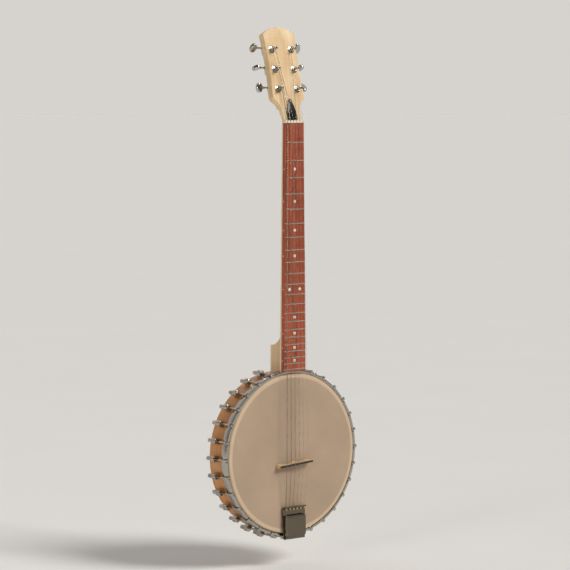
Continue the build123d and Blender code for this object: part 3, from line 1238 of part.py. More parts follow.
for number, (x, up, side) in enumerate(TUNERS, start=1):
    # Post and gear, turned about the headstock's normal
    with BuildPart() as post:
        with BuildSketch(at_tuner(x, up, side, GEAR_HEIGHT)):
            Circle(GEAR_RADIUS)
            with PolarLocations(GEAR_RADIUS, GEAR_TEETH):
                Circle(GEAR_TOOTH_GAP_RADIUS, mode=Mode.SUBTRACT)
        extrude(amount=GEAR_THICK)
        with BuildSketch(at_tuner(x, up, side, GEAR_HEIGHT)):
            Circle(POST_RADIUS)
        extrude(amount=POST_WAIST_LOW - GEAR_HEIGHT)
        with BuildSketch(at_tuner(x, up, side, POST_WAIST_LOW)):
            Circle(POST_WAIST_RADIUS)
        extrude(amount=POST_WAIST_HIGH - POST_WAIST_LOW)
        with BuildSketch(at_tuner(x, up, side, POST_WAIST_HIGH)):
            Circle(POST_RADIUS)
        extrude(amount=POST_ABOVE_FACE - POST_WAIST_HIGH)
        top_rim = edges().sort_by(Axis(HEADSTOCK.origin, HEADSTOCK.z_dir))[-1]
        fillet(top_rim, POST_TOP_FILLET)
        hole_height = POST_WAIST_HIGH + POST_HOLE_RADIUS + ROOM
        hole_place = HEADSTOCK.from_local_coords((x - POST_RADIUS, up, hole_height))
        with BuildSketch(Plane(origin=hole_place, z_dir=HEADSTOCK.x_dir)):
            Circle(POST_HOLE_RADIUS)
        extrude(amount=2 * POST_RADIUS, mode=Mode.SUBTRACT)
    finish(post, f"post_{number}")

    # Worm and shaft along local x, outboard
    with BuildPart() as worm:
        turning = at_tuner(x, up, side)
        middle = turning.from_local_coords((0, side * WORM_UP, WORM_HEIGHT))
        outboard = turning.x_dir
        with BuildSketch(Plane(origin=middle - outboard * WORM_LENGTH / 2, z_dir=outboard)):
            Circle(WORM_RADIUS)
        extrude(amount=WORM_LENGTH)
        for groove in range(WORM_GROOVES):
            start = (groove + 0.5) * WORM_LENGTH / WORM_GROOVES - WORM_LENGTH / 2
            with BuildSketch(Plane(origin=middle + outboard * start, z_dir=outboard)):
                Circle(WORM_RADIUS)
                Circle(WORM_RADIUS - ROOM, mode=Mode.SUBTRACT)
            extrude(amount=WORM_LENGTH / WORM_GROOVES / 2, mode=Mode.SUBTRACT)
        with BuildSketch(Plane(origin=middle, z_dir=outboard)):
            Circle(WORM_SHAFT_RADIUS)
        extrude(amount=WORM_END + KNOB_STEM_LENGTH)
    finish(worm, f"worm_shaft_{number}")

    # The knob stands at its own angle round the shaft
    knob_origin = middle + outboard * (WORM_END + KNOB_STEM_LENGTH)
    knob_level = Plane(origin=knob_origin, x_dir=outboard, z_dir=turning.z_dir)
    knob_place = knob_level.rotated((KNOB_TURNS[number - 1], 0, 0))
    with BuildPart() as knob:
        with Locations(knob_place.location):
            add(one_knob.part)
    finish(knob, f"knob_{number}")
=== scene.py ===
# %% [markdown]
# # A six-string open-back banjo, dressed in Blender
# The solid model of the banjo is finished before this lesson starts: every screw and hoop is already the
# right size and in the right place. Here it gets its woods, its plated metal and its drum head, and the few
# pieces that need a hand-shaped form are modelled afresh inside the space that the solid model holds.
#
# All objects sit at the origin and keep their place in their vertices, so a pattern on Object coordinates
# is in metres over the whole banjo.

# %% Load the solid model
import json
import math

import bmesh
import bpy
from mathutils import Matrix, Vector


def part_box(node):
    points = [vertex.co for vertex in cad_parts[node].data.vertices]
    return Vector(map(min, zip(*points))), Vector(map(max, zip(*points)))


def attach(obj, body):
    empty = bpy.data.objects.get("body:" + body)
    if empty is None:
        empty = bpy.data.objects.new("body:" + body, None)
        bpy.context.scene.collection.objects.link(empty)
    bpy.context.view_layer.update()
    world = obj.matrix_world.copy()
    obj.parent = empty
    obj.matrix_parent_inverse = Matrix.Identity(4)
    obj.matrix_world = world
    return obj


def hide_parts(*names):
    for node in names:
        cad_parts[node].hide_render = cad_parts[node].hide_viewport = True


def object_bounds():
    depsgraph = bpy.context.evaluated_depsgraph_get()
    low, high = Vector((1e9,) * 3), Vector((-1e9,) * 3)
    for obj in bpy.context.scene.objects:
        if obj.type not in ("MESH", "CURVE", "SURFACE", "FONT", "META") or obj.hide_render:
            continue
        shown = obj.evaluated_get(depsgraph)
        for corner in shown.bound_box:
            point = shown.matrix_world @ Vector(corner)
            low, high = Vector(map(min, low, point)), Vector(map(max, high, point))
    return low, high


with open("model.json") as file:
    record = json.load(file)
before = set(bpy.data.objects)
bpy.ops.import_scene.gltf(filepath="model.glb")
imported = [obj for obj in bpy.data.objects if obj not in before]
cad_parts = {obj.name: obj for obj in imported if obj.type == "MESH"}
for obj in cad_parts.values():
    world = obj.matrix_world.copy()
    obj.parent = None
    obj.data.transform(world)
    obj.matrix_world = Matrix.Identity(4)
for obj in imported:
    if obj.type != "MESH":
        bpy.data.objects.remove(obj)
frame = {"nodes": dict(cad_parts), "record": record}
cad_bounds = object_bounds()
nodes = frame["nodes"]
scene = bpy.context.scene
MM = 0.001
print("pieces in the solid model:", len(nodes))

# %% [markdown]
# ## Where things are
# Places are measured on the loaded pieces. The rim's box gives the centre of the pot, and the middle of
# the whole box is what the camera looks at.

# %% Measure the banjo
rim_low, rim_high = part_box("rim")
POT = (rim_low + rim_high) / 2
RIM_RADIUS = (rim_high.x - rim_low.x) / 2
BOARD_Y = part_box("fretboard")[0].y
lowest, highest = (Vector(corner) for corner in cad_bounds)
MIDDLE = (lowest + highest) / 2
print("pot centre", tuple(round(v, 4) for v in POT), "rim radius", round(RIM_RADIUS, 4))
print("whole banjo", tuple(round(v, 4) for v in highest - lowest))

# %% [markdown]
# ## The camera
# The banjo hangs and is seen from its bass side, a little above the middle, from nearly five metres away.
# A long lens from far off keeps the sides of the neck almost parallel, as in a catalogue.

# %% Camera
CAMERA_FROM_POT = Vector((-2.987, -3.657, 0.6875))
LENS = 158
camera_data = bpy.data.cameras.new("camera")
camera = bpy.data.objects.new("camera", camera_data)
scene.collection.objects.link(camera)
camera.location = Vector((POT.x, BOARD_Y, POT.z)) + CAMERA_FROM_POT
aim = MIDDLE - camera.location
camera.rotation_euler = aim.to_track_quat("-Z", "Y").to_euler()
camera_data.lens = LENS
camera_data.clip_end = 100
scene.camera = camera
print("camera", round(aim.length, 2), "m from the middle of the banjo")

# %% [markdown]
# ## The studio
# One broad soft light stands high on the treble side, so the playing face is bright and the bass side of
# the neck and rim falls into gentle shade. A weak panel on the bass side puts a long gloss on the rim.
# The colours are shown by the plain Standard transform, so that a finish looks the same here as in a viewer.

# %% Floor and lights
FLOOR_BELOW = 0.05
FLOOR_SIZE = 200
scene.view_settings.view_transform = "Standard"

bpy.ops.mesh.primitive_plane_add(size=FLOOR_SIZE, location=(0, 0, lowest.z - FLOOR_BELOW))
floor = bpy.context.object
floor.name = "floor"


def aim_lamp(name, kind, place, watts, colour):
    """A lamp that faces the middle of the banjo."""
    data = bpy.data.lights.new(name, kind)
    data.energy = watts
    data.color = colour
    lamp = bpy.data.objects.new(name, data)
    scene.collection.objects.link(lamp)
    lamp.location = place
    lamp.rotation_euler = (MIDDLE - lamp.location).to_track_quat("-Z", "Y").to_euler()
    return data


aim_lamp("key_light", "SUN", (1.9, -4.0, 3.2), 2.3, (1.0, 0.97, 0.93)).angle = math.radians(22)
aim_lamp("gloss_panel", "AREA", (-3.2, -0.9, 0.3), 18, (1.0, 0.94, 0.86)).size = 0.9


# %% [markdown]
# ## Two helpers for materials
# A material is a small graph. `put` adds one node, sets what is given, and links a value that is itself
# another node's socket. It keeps every recipe below short enough to read in one look.

# %% Node helpers
def put(tree, kind, inputs=None, **settings):
    """Adds a node; an input that is a socket is linked, and any other is its plain value."""
    node = tree.nodes.new(kind)
    for name, value in settings.items():
        setattr(node, name, value)
    for name, value in (inputs or {}).items():
        if isinstance(value, bpy.types.NodeSocket):
            tree.links.new(value, node.inputs[name])
        else:
            node.inputs[name].default_value = value
    return node


def calc(tree, operation, first, second=0.0, clamp=False):
    """One step of arithmetic, as a socket."""
    return put(tree, "ShaderNodeMath", {0: first, 1: second}, operation=operation, use_clamp=clamp).outputs[0]


def blend_colours(tree, share, first, second, way="MIX"):
    """Two colours mixed, as a socket."""
    node = put(tree, "ShaderNodeMix", data_type="RGBA", blend_type=way)
    for index, value in ((0, share), (6, first), (7, second)):
        if isinstance(value, bpy.types.NodeSocket):
            tree.links.new(value, node.inputs[index])
        else:
            node.inputs[index].default_value = value
    return node.outputs[2]


def spread(tree, value, low, high, to_low=0.0, to_high=1.0):
    """Maps a range of values smoothly onto another, as a socket."""
    node = put(tree, "ShaderNodeMapRange", {"Value": value, "From Min": low, "From Max": high}, clamp=True)
    node.inputs["To Min"].default_value = to_low
    node.inputs["To Max"].default_value = to_high
    return node.outputs[0]


def rgb(red, green, blue):
    """A colour with its alpha."""
    return (red, green, blue, 1.0)


# %% [markdown]
# Chrome shows its surroundings more than its own colour. The sky behind the banjo is as pale as the floor,
# and the side that the playing face looks towards is dim, as in a darkened studio. The plated parts get
# their dark side from it, and without a dark side they would read as white paint.

# %% Sky
world = bpy.data.worlds.new("studio")
scene.world = world
world.use_nodes = True
sky = world.node_tree
sky.nodes.clear()
BEHIND = (0.62, 0.78, 0.05)
direction = put(sky, "ShaderNodeTexCoord").outputs["Generated"]
facing = put(sky, "ShaderNodeVectorMath", {0: direction, 1: BEHIND}, operation="DOT_PRODUCT").outputs["Value"]
sky_colour = blend_colours(sky, spread(sky, facing, -0.25, 0.55), rgb(0.10, 0.09, 0.08), rgb(0.673, 0.652, 0.620))
backdrop = put(sky, "ShaderNodeBackground", {"Color": sky_colour, "Strength": 1.0})
put(sky, "ShaderNodeOutputWorld", {"Surface": backdrop.outputs[0]})


# %% [markdown]
# ## Shared effects
# Three things happen to many of the banjo's surfaces, so each is a node group that is built once: the
# figure of wood, the haze and hairline marks that handling leaves, and the wear on proud edges.
#
# Wood is a bundle of fibres. Noise that is stretched along the fibres gives the fine lines, a broader
# stretched noise gives the growth bands, and in good maple a faint ripple crosses them both.

# %% Group: figure of wood
def new_group(name, inputs, outputs):
    """An empty shader group with its sockets, and its two end nodes."""
    group = bpy.data.node_groups.new(name, "ShaderNodeTree")
    for label, kind, value in inputs:
        socket = group.interface.new_socket(name=label, in_out="INPUT", socket_type=kind)
        if value is not None:
            socket.default_value = value
    for label, kind in outputs:
        group.interface.new_socket(name=label, in_out="OUTPUT", socket_type=kind)
    return group, put(group, "NodeGroupInput").outputs, put(group, "NodeGroupOutput").inputs


def wood_figure_group():
    """Fibres, growth bands, pores and ripple. The Vector's Z runs along the fibres, in metres."""
    tree, given, result = new_group(
        "wood figure",
        [
            ("Vector", "NodeSocketVector", None),
            ("Light", "NodeSocketColor", rgb(0.8, 0.6, 0.4)),
            ("Dark", "NodeSocketColor", rgb(0.5, 0.3, 0.15)),
            ("Band size", "NodeSocketFloat", 90.0),
            ("Ripple", "NodeSocketFloat", 0.2),
            ("Pores", "NodeSocketFloat", 0.2),
        ],
        [("Color", "NodeSocketColor"), ("Height", "NodeSocketFloat"), ("Open grain", "NodeSocketFloat")],
    )
    long_way = put(tree, "ShaderNodeMapping", {"Vector": given["Vector"], "Scale": (1, 1, 0.06)}).outputs[0]
    bands = put(tree, "ShaderNodeTexNoise", {"Vector": long_way, "Scale": given["Band size"], "Detail": 3.0})
    bands.inputs["Distortion"].default_value = 0.25
    fine_way = put(tree, "ShaderNodeMapping", {"Vector": given["Vector"], "Scale": (1, 1, 0.025)}).outputs[0]
    fibres = put(tree, "ShaderNodeTexNoise", {"Vector": fine_way, "Scale": 1400.0, "Detail": 2.0}).outputs[0]
    pore_way = put(tree, "ShaderNodeMapping", {"Vector": given["Vector"], "Scale": (1, 1, 0.09)}).outputs[0]
    pores = put(tree, "ShaderNodeTexVoronoi", {"Vector": pore_way, "Scale": 900.0, "Randomness": 1.0}).outputs[0]
    pore_mask = spread(tree, pores, 0.34, 0.12)
    pore_patch = put(tree, "ShaderNodeTexNoise", {"Vector": long_way, "Scale": 160.0}).outputs[0]
    patchy_pores = calc(tree, "MULTIPLY", pore_mask, spread(tree, pore_patch, 0.42, 0.6))
    open_grain = calc(tree, "MULTIPLY", patchy_pores, given["Pores"])
    cross = put(tree, "ShaderNodeMapping", {"Vector": given["Vector"], "Scale": (0.12, 0.12, 1.6)}).outputs[0]
    ripple = put(tree, "ShaderNodeTexNoise", {"Vector": cross, "Scale": 70.0, "Detail": 1.0}).outputs[0]
    ripple_share = calc(tree, "MULTIPLY", calc(tree, "SUBTRACT", ripple, 0.5), given["Ripple"])
    share = calc(tree, "ADD", spread(tree, bands.outputs[0], 0.36, 0.66), calc(tree, "MULTIPLY", fibres, 0.34))
    share = calc(tree, "ADD", calc(tree, "SUBTRACT", share, 0.17), ripple_share, clamp=True)
    colour = blend_colours(tree, share, given["Light"], given["Dark"])
    darkest = blend_colours(tree, 1.0, given["Dark"], rgb(0.30, 0.26, 0.24), "MULTIPLY")
    tree.links.new(blend_colours(tree, open_grain, colour, darkest), result["Color"])
    tree.links.new(calc(tree, "SUBTRACT", calc(tree, "MULTIPLY", fibres, 0.35), open_grain), result["Height"])
    tree.links.new(open_grain, result["Open grain"])
    return tree


WOOD_FIGURE = wood_figure_group()


# %% [markdown]
# Hands leave a film that is patchy, and cloths leave hairline scratches that run every way. Neither
# changes the colour much: they show because they blur the reflection.

# %% Group: handling marks
def handling_group():
    """Smudges and hairlines, for roughness, and a little dust."""
    tree, given, result = new_group(
        "handling marks",
        [
            ("Vector", "NodeSocketVector", None),
            ("Clean", "NodeSocketFloat", 0.1),
            ("Smudged", "NodeSocketFloat", 0.3),
            ("Hairlines", "NodeSocketFloat", 0.3),
        ],
        [("Roughness", "NodeSocketFloat"), ("Film", "NodeSocketFloat"), ("Height", "NodeSocketFloat")],
    )
    broad = put(tree, "ShaderNodeTexNoise", {"Vector": given["Vector"], "Scale": 38.0, "Detail": 5.0}).outputs[0]
    small = put(tree, "ShaderNodeTexNoise", {"Vector": given["Vector"], "Scale": 420.0, "Detail": 3.0}).outputs[0]
    film = calc(tree, "MULTIPLY", spread(tree, broad, 0.42, 0.68), spread(tree, small, 0.25, 0.65))
    lines = None
    for angle, stretch in ((0.5, 1.0), (-0.9, 1.3)):
        turned = put(tree, "ShaderNodeMapping", {"Vector": given["Vector"], "Rotation": (angle, angle * 2, angle)})
        turned.inputs["Scale"].default_value = (stretch, 1, 0.015)
        hairline_inputs = {"Vector": turned.outputs[0], "Scale": 2600.0, "Detail": 1.0}
        streak = put(tree, "ShaderNodeTexNoise", hairline_inputs).outputs[0]
        streak = spread(tree, streak, 0.66, 0.74)
        lines = streak if lines is None else calc(tree, "MAXIMUM", lines, streak)
    lines = calc(tree, "MULTIPLY", lines, given["Hairlines"])
    span = calc(tree, "SUBTRACT", given["Smudged"], given["Clean"])
    blur = calc(tree, "ADD", given["Clean"], calc(tree, "MULTIPLY", span, film))
    tree.links.new(calc(tree, "ADD", blur, calc(tree, "MULTIPLY", lines, 0.25), clamp=True), result["Roughness"])
    tree.links.new(film, result["Film"])
    tree.links.new(calc(tree, "MULTIPLY", lines, -1.0), result["Height"])
    return tree


HANDLING = handling_group()


# %% [markdown]
# Proud edges are rubbed first. Hollows get painted shade, mixed with the dust that stays where a cloth can't reach.
# An edge is found by rounding the surface's direction over half a millimetre: wherever that changes it, an edge is
# near.
# A hollow is found by how much of the sky its own piece hides. A noise breaks both masks up, so that they come and
# go.

# %% Group: edge wear
def edge_wear_group():
    """A broken mask along edges, and another of dust and painted shade in the hollows."""
    tree, given, result = new_group(
        "edge wear",
        [
            ("Vector", "NodeSocketVector", None),
            ("Amount", "NodeSocketFloat", 0.5),
            ("Width", "NodeSocketFloat", 0.0005),
        ],
        [("Worn", "NodeSocketFloat"), ("Dust and shade", "NodeSocketFloat")],
    )
    rounded = put(tree, "ShaderNodeBevel", {"Radius": given["Width"]}, samples=6).outputs[0]
    facing = put(tree, "ShaderNodeNewGeometry").outputs["Normal"]
    agree = put(tree, "ShaderNodeVectorMath", {0: rounded, 1: facing}, operation="DOT_PRODUCT").outputs["Value"]
    patches = put(tree, "ShaderNodeTexNoise", {"Vector": given["Vector"], "Scale": 190.0, "Detail": 4.0}).outputs[0]
    proud = calc(tree, "MULTIPLY", spread(tree, agree, 0.985, 0.88), spread(tree, patches, 0.36, 0.60))
    tree.links.new(calc(tree, "MULTIPLY", proud, given["Amount"]), result["Worn"])
    # Painted shade mask: hollows that hide the sky, where the materials darken the colour; it also stands for dust
    # there.
    open_sky = put(tree, "ShaderNodeAmbientOcclusion", {"Distance": 0.004}, samples=6, only_local=True).outputs["AO"]
    hollow = calc(tree, "MULTIPLY", spread(tree, open_sky, 0.62, 0.25), spread(tree, patches, 0.30, 0.60))
    tree.links.new(calc(tree, "MULTIPLY", hollow, given["Amount"]), result["Dust and shade"])
    return tree


EDGE_WEAR = edge_wear_group()


def use_group(tree, group, **inputs):
    """Places a shared group in a material and returns its outputs."""
    node = put(tree, "ShaderNodeGroup", node_tree=group)
    for name, value in inputs.items():
        label = name.replace("_", " ")
        if isinstance(value, bpy.types.NodeSocket):
            tree.links.new(value, node.inputs[label])
        else:
            node.inputs[label].default_value = value
    return node.outputs


def new_material(name, **plain):
    """A material with one Principled shader, whose plain values are set on its own sockets."""
    material = bpy.data.materials.new(name)
    material.use_nodes = True
    tree = material.node_tree
    tree.nodes.clear()
    shader = put(tree, "ShaderNodeBsdfPrincipled")
    for label, value in plain.items():
        shader.inputs[label.replace("_", " ")].default_value = value
    put(tree, "ShaderNodeOutputMaterial", {"Surface": shader.outputs[0]})
    place = put(tree, "ShaderNodeTexCoord").outputs["Object"]
    return material, tree, shader, place


def bump(tree, shader, height, distance, strength=1.0):
    """Gives the shader a relief, in metres."""
    node = put(tree, "ShaderNodeBump", {"Height": height, "Distance": distance, "Strength": strength})
    tree.links.new(node.outputs[0], shader.inputs["Normal"])


# %% [markdown]
# ## The woods
# The neck is pale maple under satin lacquer, with its fibres along the neck. Lacquer is a clear coat over
# the wood, so the coat has its own gloss and the wood below keeps its own roughness.

# %% Neck maple
def along_neck(tree, place, shift=(0, 0, 0)):
    """Object coordinates, moved so that the pieces don't share one figure."""
    return put(tree, "ShaderNodeMapping", {"Vector": place, "Location": shift}).outputs[0]


def lacquered_maple(name, light, dark, ripple, band_size, place_of=along_neck, coat=0.5, gloss=0.2):
    material, tree, shader, place = new_material(name, Coat_Weight=coat, Coat_Roughness=gloss, Coat_IOR=1.45)
    grain = use_group(
        tree, WOOD_FIGURE, Vector=place_of(tree, place), Light=light, Dark=dark,
        Band_size=band_size, Ripple=ripple, Pores=0.30,
    )
    marks = use_group(tree, HANDLING, Vector=place, Clean=0.34, Smudged=0.52, Hairlines=0.2)
    edges = use_group(tree, EDGE_WEAR, Vector=place, Amount=0.5)
    colour = blend_colours(tree, edges["Worn"], grain["Color"], rgb(0.86, 0.74, 0.52))
    # Painted shade and dust darken the hollows
    colour = blend_colours(tree, edges["Dust and shade"], colour, rgb(0.30, 0.20, 0.10))
    tree.links.new(colour, shader.inputs["Base Color"])
    tree.links.new(marks["Roughness"], shader.inputs["Roughness"])
    bump(tree, shader, grain["Height"], 0.00004, 0.5)
    return material


neck_maple = lacquered_maple("neck_maple", rgb(0.84, 0.63, 0.37), rgb(0.70, 0.48, 0.25), 0.35, 60.0)


# %% [markdown]
# The rim is three thin boards of maple, bent into rings and glued inside each other, so its fibres run
# round it. The material therefore works in round coordinates: how far along the ring, how deep, and how
# far from the centre. The glue lines between the boards show as fine dark rings on the back edge.

# %% Rim maple
def round_the_rim(tree, place):
    """Turns Object coordinates into (distance from the centre, depth, distance along the ring)."""
    centred = put(tree, "ShaderNodeVectorMath", {0: place, 1: tuple(POT)}, operation="SUBTRACT").outputs[0]
    parts = put(tree, "ShaderNodeSeparateXYZ", {0: centred}).outputs
    angle = calc(tree, "ARCTAN2", parts["X"], parts["Z"])
    across = calc(tree, "MULTIPLY", parts["X"], parts["X"])
    radius = calc(tree, "SQRT", calc(tree, "ADD", across, calc(tree, "MULTIPLY", parts["Z"], parts["Z"])))
    along = calc(tree, "MULTIPLY", angle, RIM_RADIUS)
    return put(tree, "ShaderNodeCombineXYZ", {"X": radius, "Y": parts["Y"], "Z": along}).outputs[0]


rim_maple = lacquered_maple(
    "rim_maple", rgb(0.70, 0.32, 0.088), rgb(0.51, 0.20, 0.045), 0.5, 75.0, round_the_rim, 0.35, 0.16
)


def add_glue_lines(material, wall, plies):
    """Darkens the rim's colour at the joints between its boards."""
    tree = material.node_tree
    shader = next(node for node in tree.nodes if node.type == "BSDF_PRINCIPLED")
    colour = shader.inputs["Base Color"].links[0].from_socket
    place = next(node for node in tree.nodes if node.type == "TEX_COORD").outputs["Object"]
    radius = put(tree, "ShaderNodeSeparateXYZ", {0: round_the_rim(tree, place)}).outputs["X"]
    for ply in range(1, plies):
        joint = RIM_RADIUS - wall * ply / plies
        distance = calc(tree, "ABSOLUTE", calc(tree, "SUBTRACT", radius, joint))
        colour = blend_colours(tree, spread(tree, distance, 0.00045, 0.00020), colour, rgb(0.14, 0.06, 0.02))
    tree.links.new(colour, shader.inputs["Base Color"])


add_glue_lines(rim_maple, 0.014, 3)

# %% [markdown]
# Rosewood is dark, oily and open-grained: its pores are real grooves, so they also go into the relief.
# It has no lacquer. Fingers polish it between the frets; the handling marks give it patches of gloss and haze all
# over.

# %% Rosewood, bridge maple and ebony
def bare_wood(name, light, dark, band_size, pores, clean, smudged, relief, worn):
    material, tree, shader, place = new_material(name, Specular_IOR_Level=0.45)
    grain = use_group(
        tree, WOOD_FIGURE, Vector=along_neck(tree, place, (0.31, 0.17, 0.05)), Light=light, Dark=dark,
        Band_size=band_size, Ripple=0.12, Pores=pores,
    )
    marks = use_group(tree, HANDLING, Vector=place, Clean=clean, Smudged=smudged, Hairlines=0.2)
    edges = use_group(tree, EDGE_WEAR, Vector=place, Amount=0.6)
    colour = blend_colours(tree, edges["Worn"], grain["Color"], worn)
    tree.links.new(colour, shader.inputs["Base Color"])
    tree.links.new(marks["Roughness"], shader.inputs["Roughness"])
    bump(tree, shader, grain["Height"], relief, 0.8)
    return material


rosewood = bare_wood(
    "rosewood", rgb(0.43, 0.086, 0.030), rgb(0.25, 0.046, 0.016), 120.0, 0.7, 0.38, 0.56, 0.00006,
    rgb(0.36, 0.16, 0.09),
)
bridge_maple = bare_wood(
    "bridge_maple", rgb(0.74, 0.56, 0.34), rgb(0.54, 0.36, 0.18), 200.0, 0.3, 0.45, 0.62, 0.00004,
    rgb(0.74, 0.55, 0.33),
)
bridge_ebony = bare_wood(
    "bridge_ebony", rgb(0.035, 0.024, 0.018), rgb(0.012, 0.009, 0.008), 240.0, 0.4, 0.3, 0.5, 0.00004,
    rgb(0.08, 0.06, 0.05),
)


# %% [markdown]
# ## The drum head
# The head is a polyester film sprayed with a rough coat on the playing side. It is a warm grey tan in
# the middle, where a little light passes through, with a painted shadow of the rods behind it down the middle, and
# paler at the collar, where it is backed by the metal ring that it is stretched over. The coat is a fine grit in the
# relief.

# %% Drum head film
def drum_film():
    material, tree, shader, place = new_material(
        "drum_film", Specular_IOR_Level=0.35, Subsurface_Weight=0.12, Subsurface_Scale=0.002,
    )
    round_place = put(tree, "ShaderNodeSeparateXYZ", {0: round_the_rim(tree, place)}).outputs
    radius = round_place["X"]
    cloud = put(tree, "ShaderNodeTexNoise", {"Vector": place, "Scale": 11.0, "Detail": 6.0}).outputs[0]
    grit = put(tree, "ShaderNodeTexNoise", {"Vector": place, "Scale": 3200.0, "Detail": 2.0}).outputs[0]
    middle = blend_colours(tree, spread(tree, cloud, 0.35, 0.7), rgb(0.385, 0.285, 0.200), rgb(0.44, 0.325, 0.230))
    speck = spread(tree, grit, 0.35, 0.75)
    middle = blend_colours(tree, calc(tree, "MULTIPLY", speck, 0.16), middle, rgb(0.66, 0.54, 0.40))
    # Painted shadow of the rods that run behind the middle of the head
    across = put(tree, "ShaderNodeSeparateXYZ", {0: place}).outputs["X"]
    behind = spread(tree, calc(tree, "ABSOLUTE", across), 0.024, 0.004, 0.0, 0.26)
    middle = blend_colours(tree, behind, middle, rgb(0.26, 0.18, 0.12))
    collar = spread(tree, radius, RIM_RADIUS - 0.0085, RIM_RADIUS - 0.0065)
    collar = calc(tree, "MULTIPLY", collar, spread(tree, cloud, 0.2, 0.6, 0.75, 1.0))
    colour = blend_colours(tree, collar, middle, rgb(0.61, 0.465, 0.315))
    # Fingers darken the coat near the bridge; here the patchy handling film darkens it a little all over
    marks = use_group(tree, HANDLING, Vector=place, Clean=0.46, Smudged=0.62, Hairlines=0.6)
    colour = blend_colours(tree, calc(tree, "MULTIPLY", marks["Film"], 0.16), colour, rgb(0.34, 0.26, 0.19))
    tree.links.new(colour, shader.inputs["Base Color"])
    tree.links.new(marks["Roughness"], shader.inputs["Roughness"])
    bump(tree, shader, grit, 0.00003, 0.6)
    return material


drumhead = drum_film()


# %% [markdown]
# ## Metals
# Plated metal is a mirror with a history. The colour stays plain, the handling marks blur it in patches,
# dust and painted shade sit in its corners, and where the plate has thinned on an edge a warmer metal shows.

# %% Plated and bare metals
def metal(name, colour, clean, smudged, hairlines, worn, film=0.12):
    material, tree, shader, place = new_material(name)
    marks = use_group(tree, HANDLING, Vector=place, Clean=clean, Smudged=smudged, Hairlines=hairlines)
    edges = use_group(tree, EDGE_WEAR, Vector=place, Amount=0.7)
    dulled = rgb(*(v * 0.7 for v in colour[:3]))
    tone = blend_colours(tree, calc(tree, "MULTIPLY", marks["Film"], film), colour, dulled)
    tone = blend_colours(tree, edges["Worn"], tone, worn)
    # Painted shade and dust darken the corners
    tone = blend_colours(tree, edges["Dust and shade"], tone, rgb(0.10, 0.085, 0.07))
    tree.links.new(tone, shader.inputs["Base Color"])
    # Painted shade and dust also take the metal's shine off in the corners
    dust_and_shade_share = calc(tree, "MULTIPLY", edges["Dust and shade"], 0.6)
    tree.links.new(calc(tree, "SUBTRACT", 1.0, dust_and_shade_share), shader.inputs["Metallic"])
    tree.links.new(marks["Roughness"], shader.inputs["Roughness"])
    bump(tree, shader, marks["Height"], 0.00002, 0.4)
    return material


hoop_chrome = metal("hoop_chrome", rgb(0.44, 0.41, 0.37), 0.10, 0.30, 0.5, rgb(0.74, 0.66, 0.52))
hook_chrome = metal("hook_chrome", rgb(0.46, 0.42, 0.37), 0.13, 0.34, 0.4, rgb(0.72, 0.62, 0.46))
# Painted reflection: the tailpiece's base colour is far darker than plated metal, standing in for the dark room that
# it reflects
tail_chrome = metal("tail_chrome", rgb(0.160, 0.136, 0.104), 0.13, 0.21, 0.6, rgb(0.62, 0.56, 0.46))
tuner_chrome = metal("tuner_chrome", rgb(0.50, 0.49, 0.46), 0.09, 0.26, 0.4, rgb(0.76, 0.70, 0.58))
small_screws = metal("small_screws", rgb(0.58, 0.57, 0.54), 0.20, 0.40, 0.8, rgb(0.66, 0.58, 0.46))
fret_wire = metal("fret_wire", rgb(0.58, 0.50, 0.42), 0.12, 0.34, 0.9, rgb(0.80, 0.78, 0.72))
rod_steel = metal("rod_steel", rgb(0.45, 0.44, 0.42), 0.30, 0.52, 0.9, rgb(0.60, 0.57, 0.52))
tone_ring_brass = metal("tone_ring_brass", rgb(0.70, 0.50, 0.22), 0.24, 0.46, 0.6, rgb(0.82, 0.66, 0.38))
ball_brass = metal("ball_brass", rgb(0.74, 0.55, 0.26), 0.18, 0.36, 0.4, rgb(0.84, 0.70, 0.42))


# %% [markdown]
# The three thick strings are wound: a fine wire is wrapped tightly round a core. A wave along the string,
# at the pitch of the winding, gives its ribs in the relief and a line of painted shade in the groove between them.

# %% Strings
def string_steel(name, colour, pitch, relief):
    material, tree, shader, place = new_material(name, Metallic=1.0)
    marks = use_group(tree, HANDLING, Vector=place, Clean=0.24, Smudged=0.48, Hairlines=0.4)
    height = put(tree, "ShaderNodeSeparateXYZ", {0: place}).outputs["Z"]
    turns = calc(tree, "SINE", calc(tree, "MULTIPLY", height, 2 * math.pi / pitch))
    ribs = spread(tree, turns, -1.0, 0.2)
    # Painted shade: the colour darkens in the troughs of the wave, the grooves between windings
    tone = blend_colours(tree, ribs, rgb(*(v * 0.45 for v in colour[:3])), colour)
    tone = blend_colours(tree, calc(tree, "MULTIPLY", marks["Film"], 0.3), tone, rgb(0.30, 0.24, 0.18))
    tree.links.new(tone, shader.inputs["Base Color"])
    tree.links.new(marks["Roughness"], shader.inputs["Roughness"])
    bump(tree, shader, ribs, relief, 0.8)
    return material


wound_string = string_steel("wound_string", rgb(0.40, 0.35, 0.28), 0.0006, 0.00010)
plain_string = string_steel("plain_string", rgb(0.42, 0.40, 0.36), 0.0200, 0.00001)


# %% [markdown]
# ## Bone, pearl and black plastic
# Bone has faint straight flecks and a soft depth. Pearl is built of thin curved layers, so its colour
# drifts between cream, green and rose with the noise. The truss rod cover is glossy black plastic that
# shows every hairline.

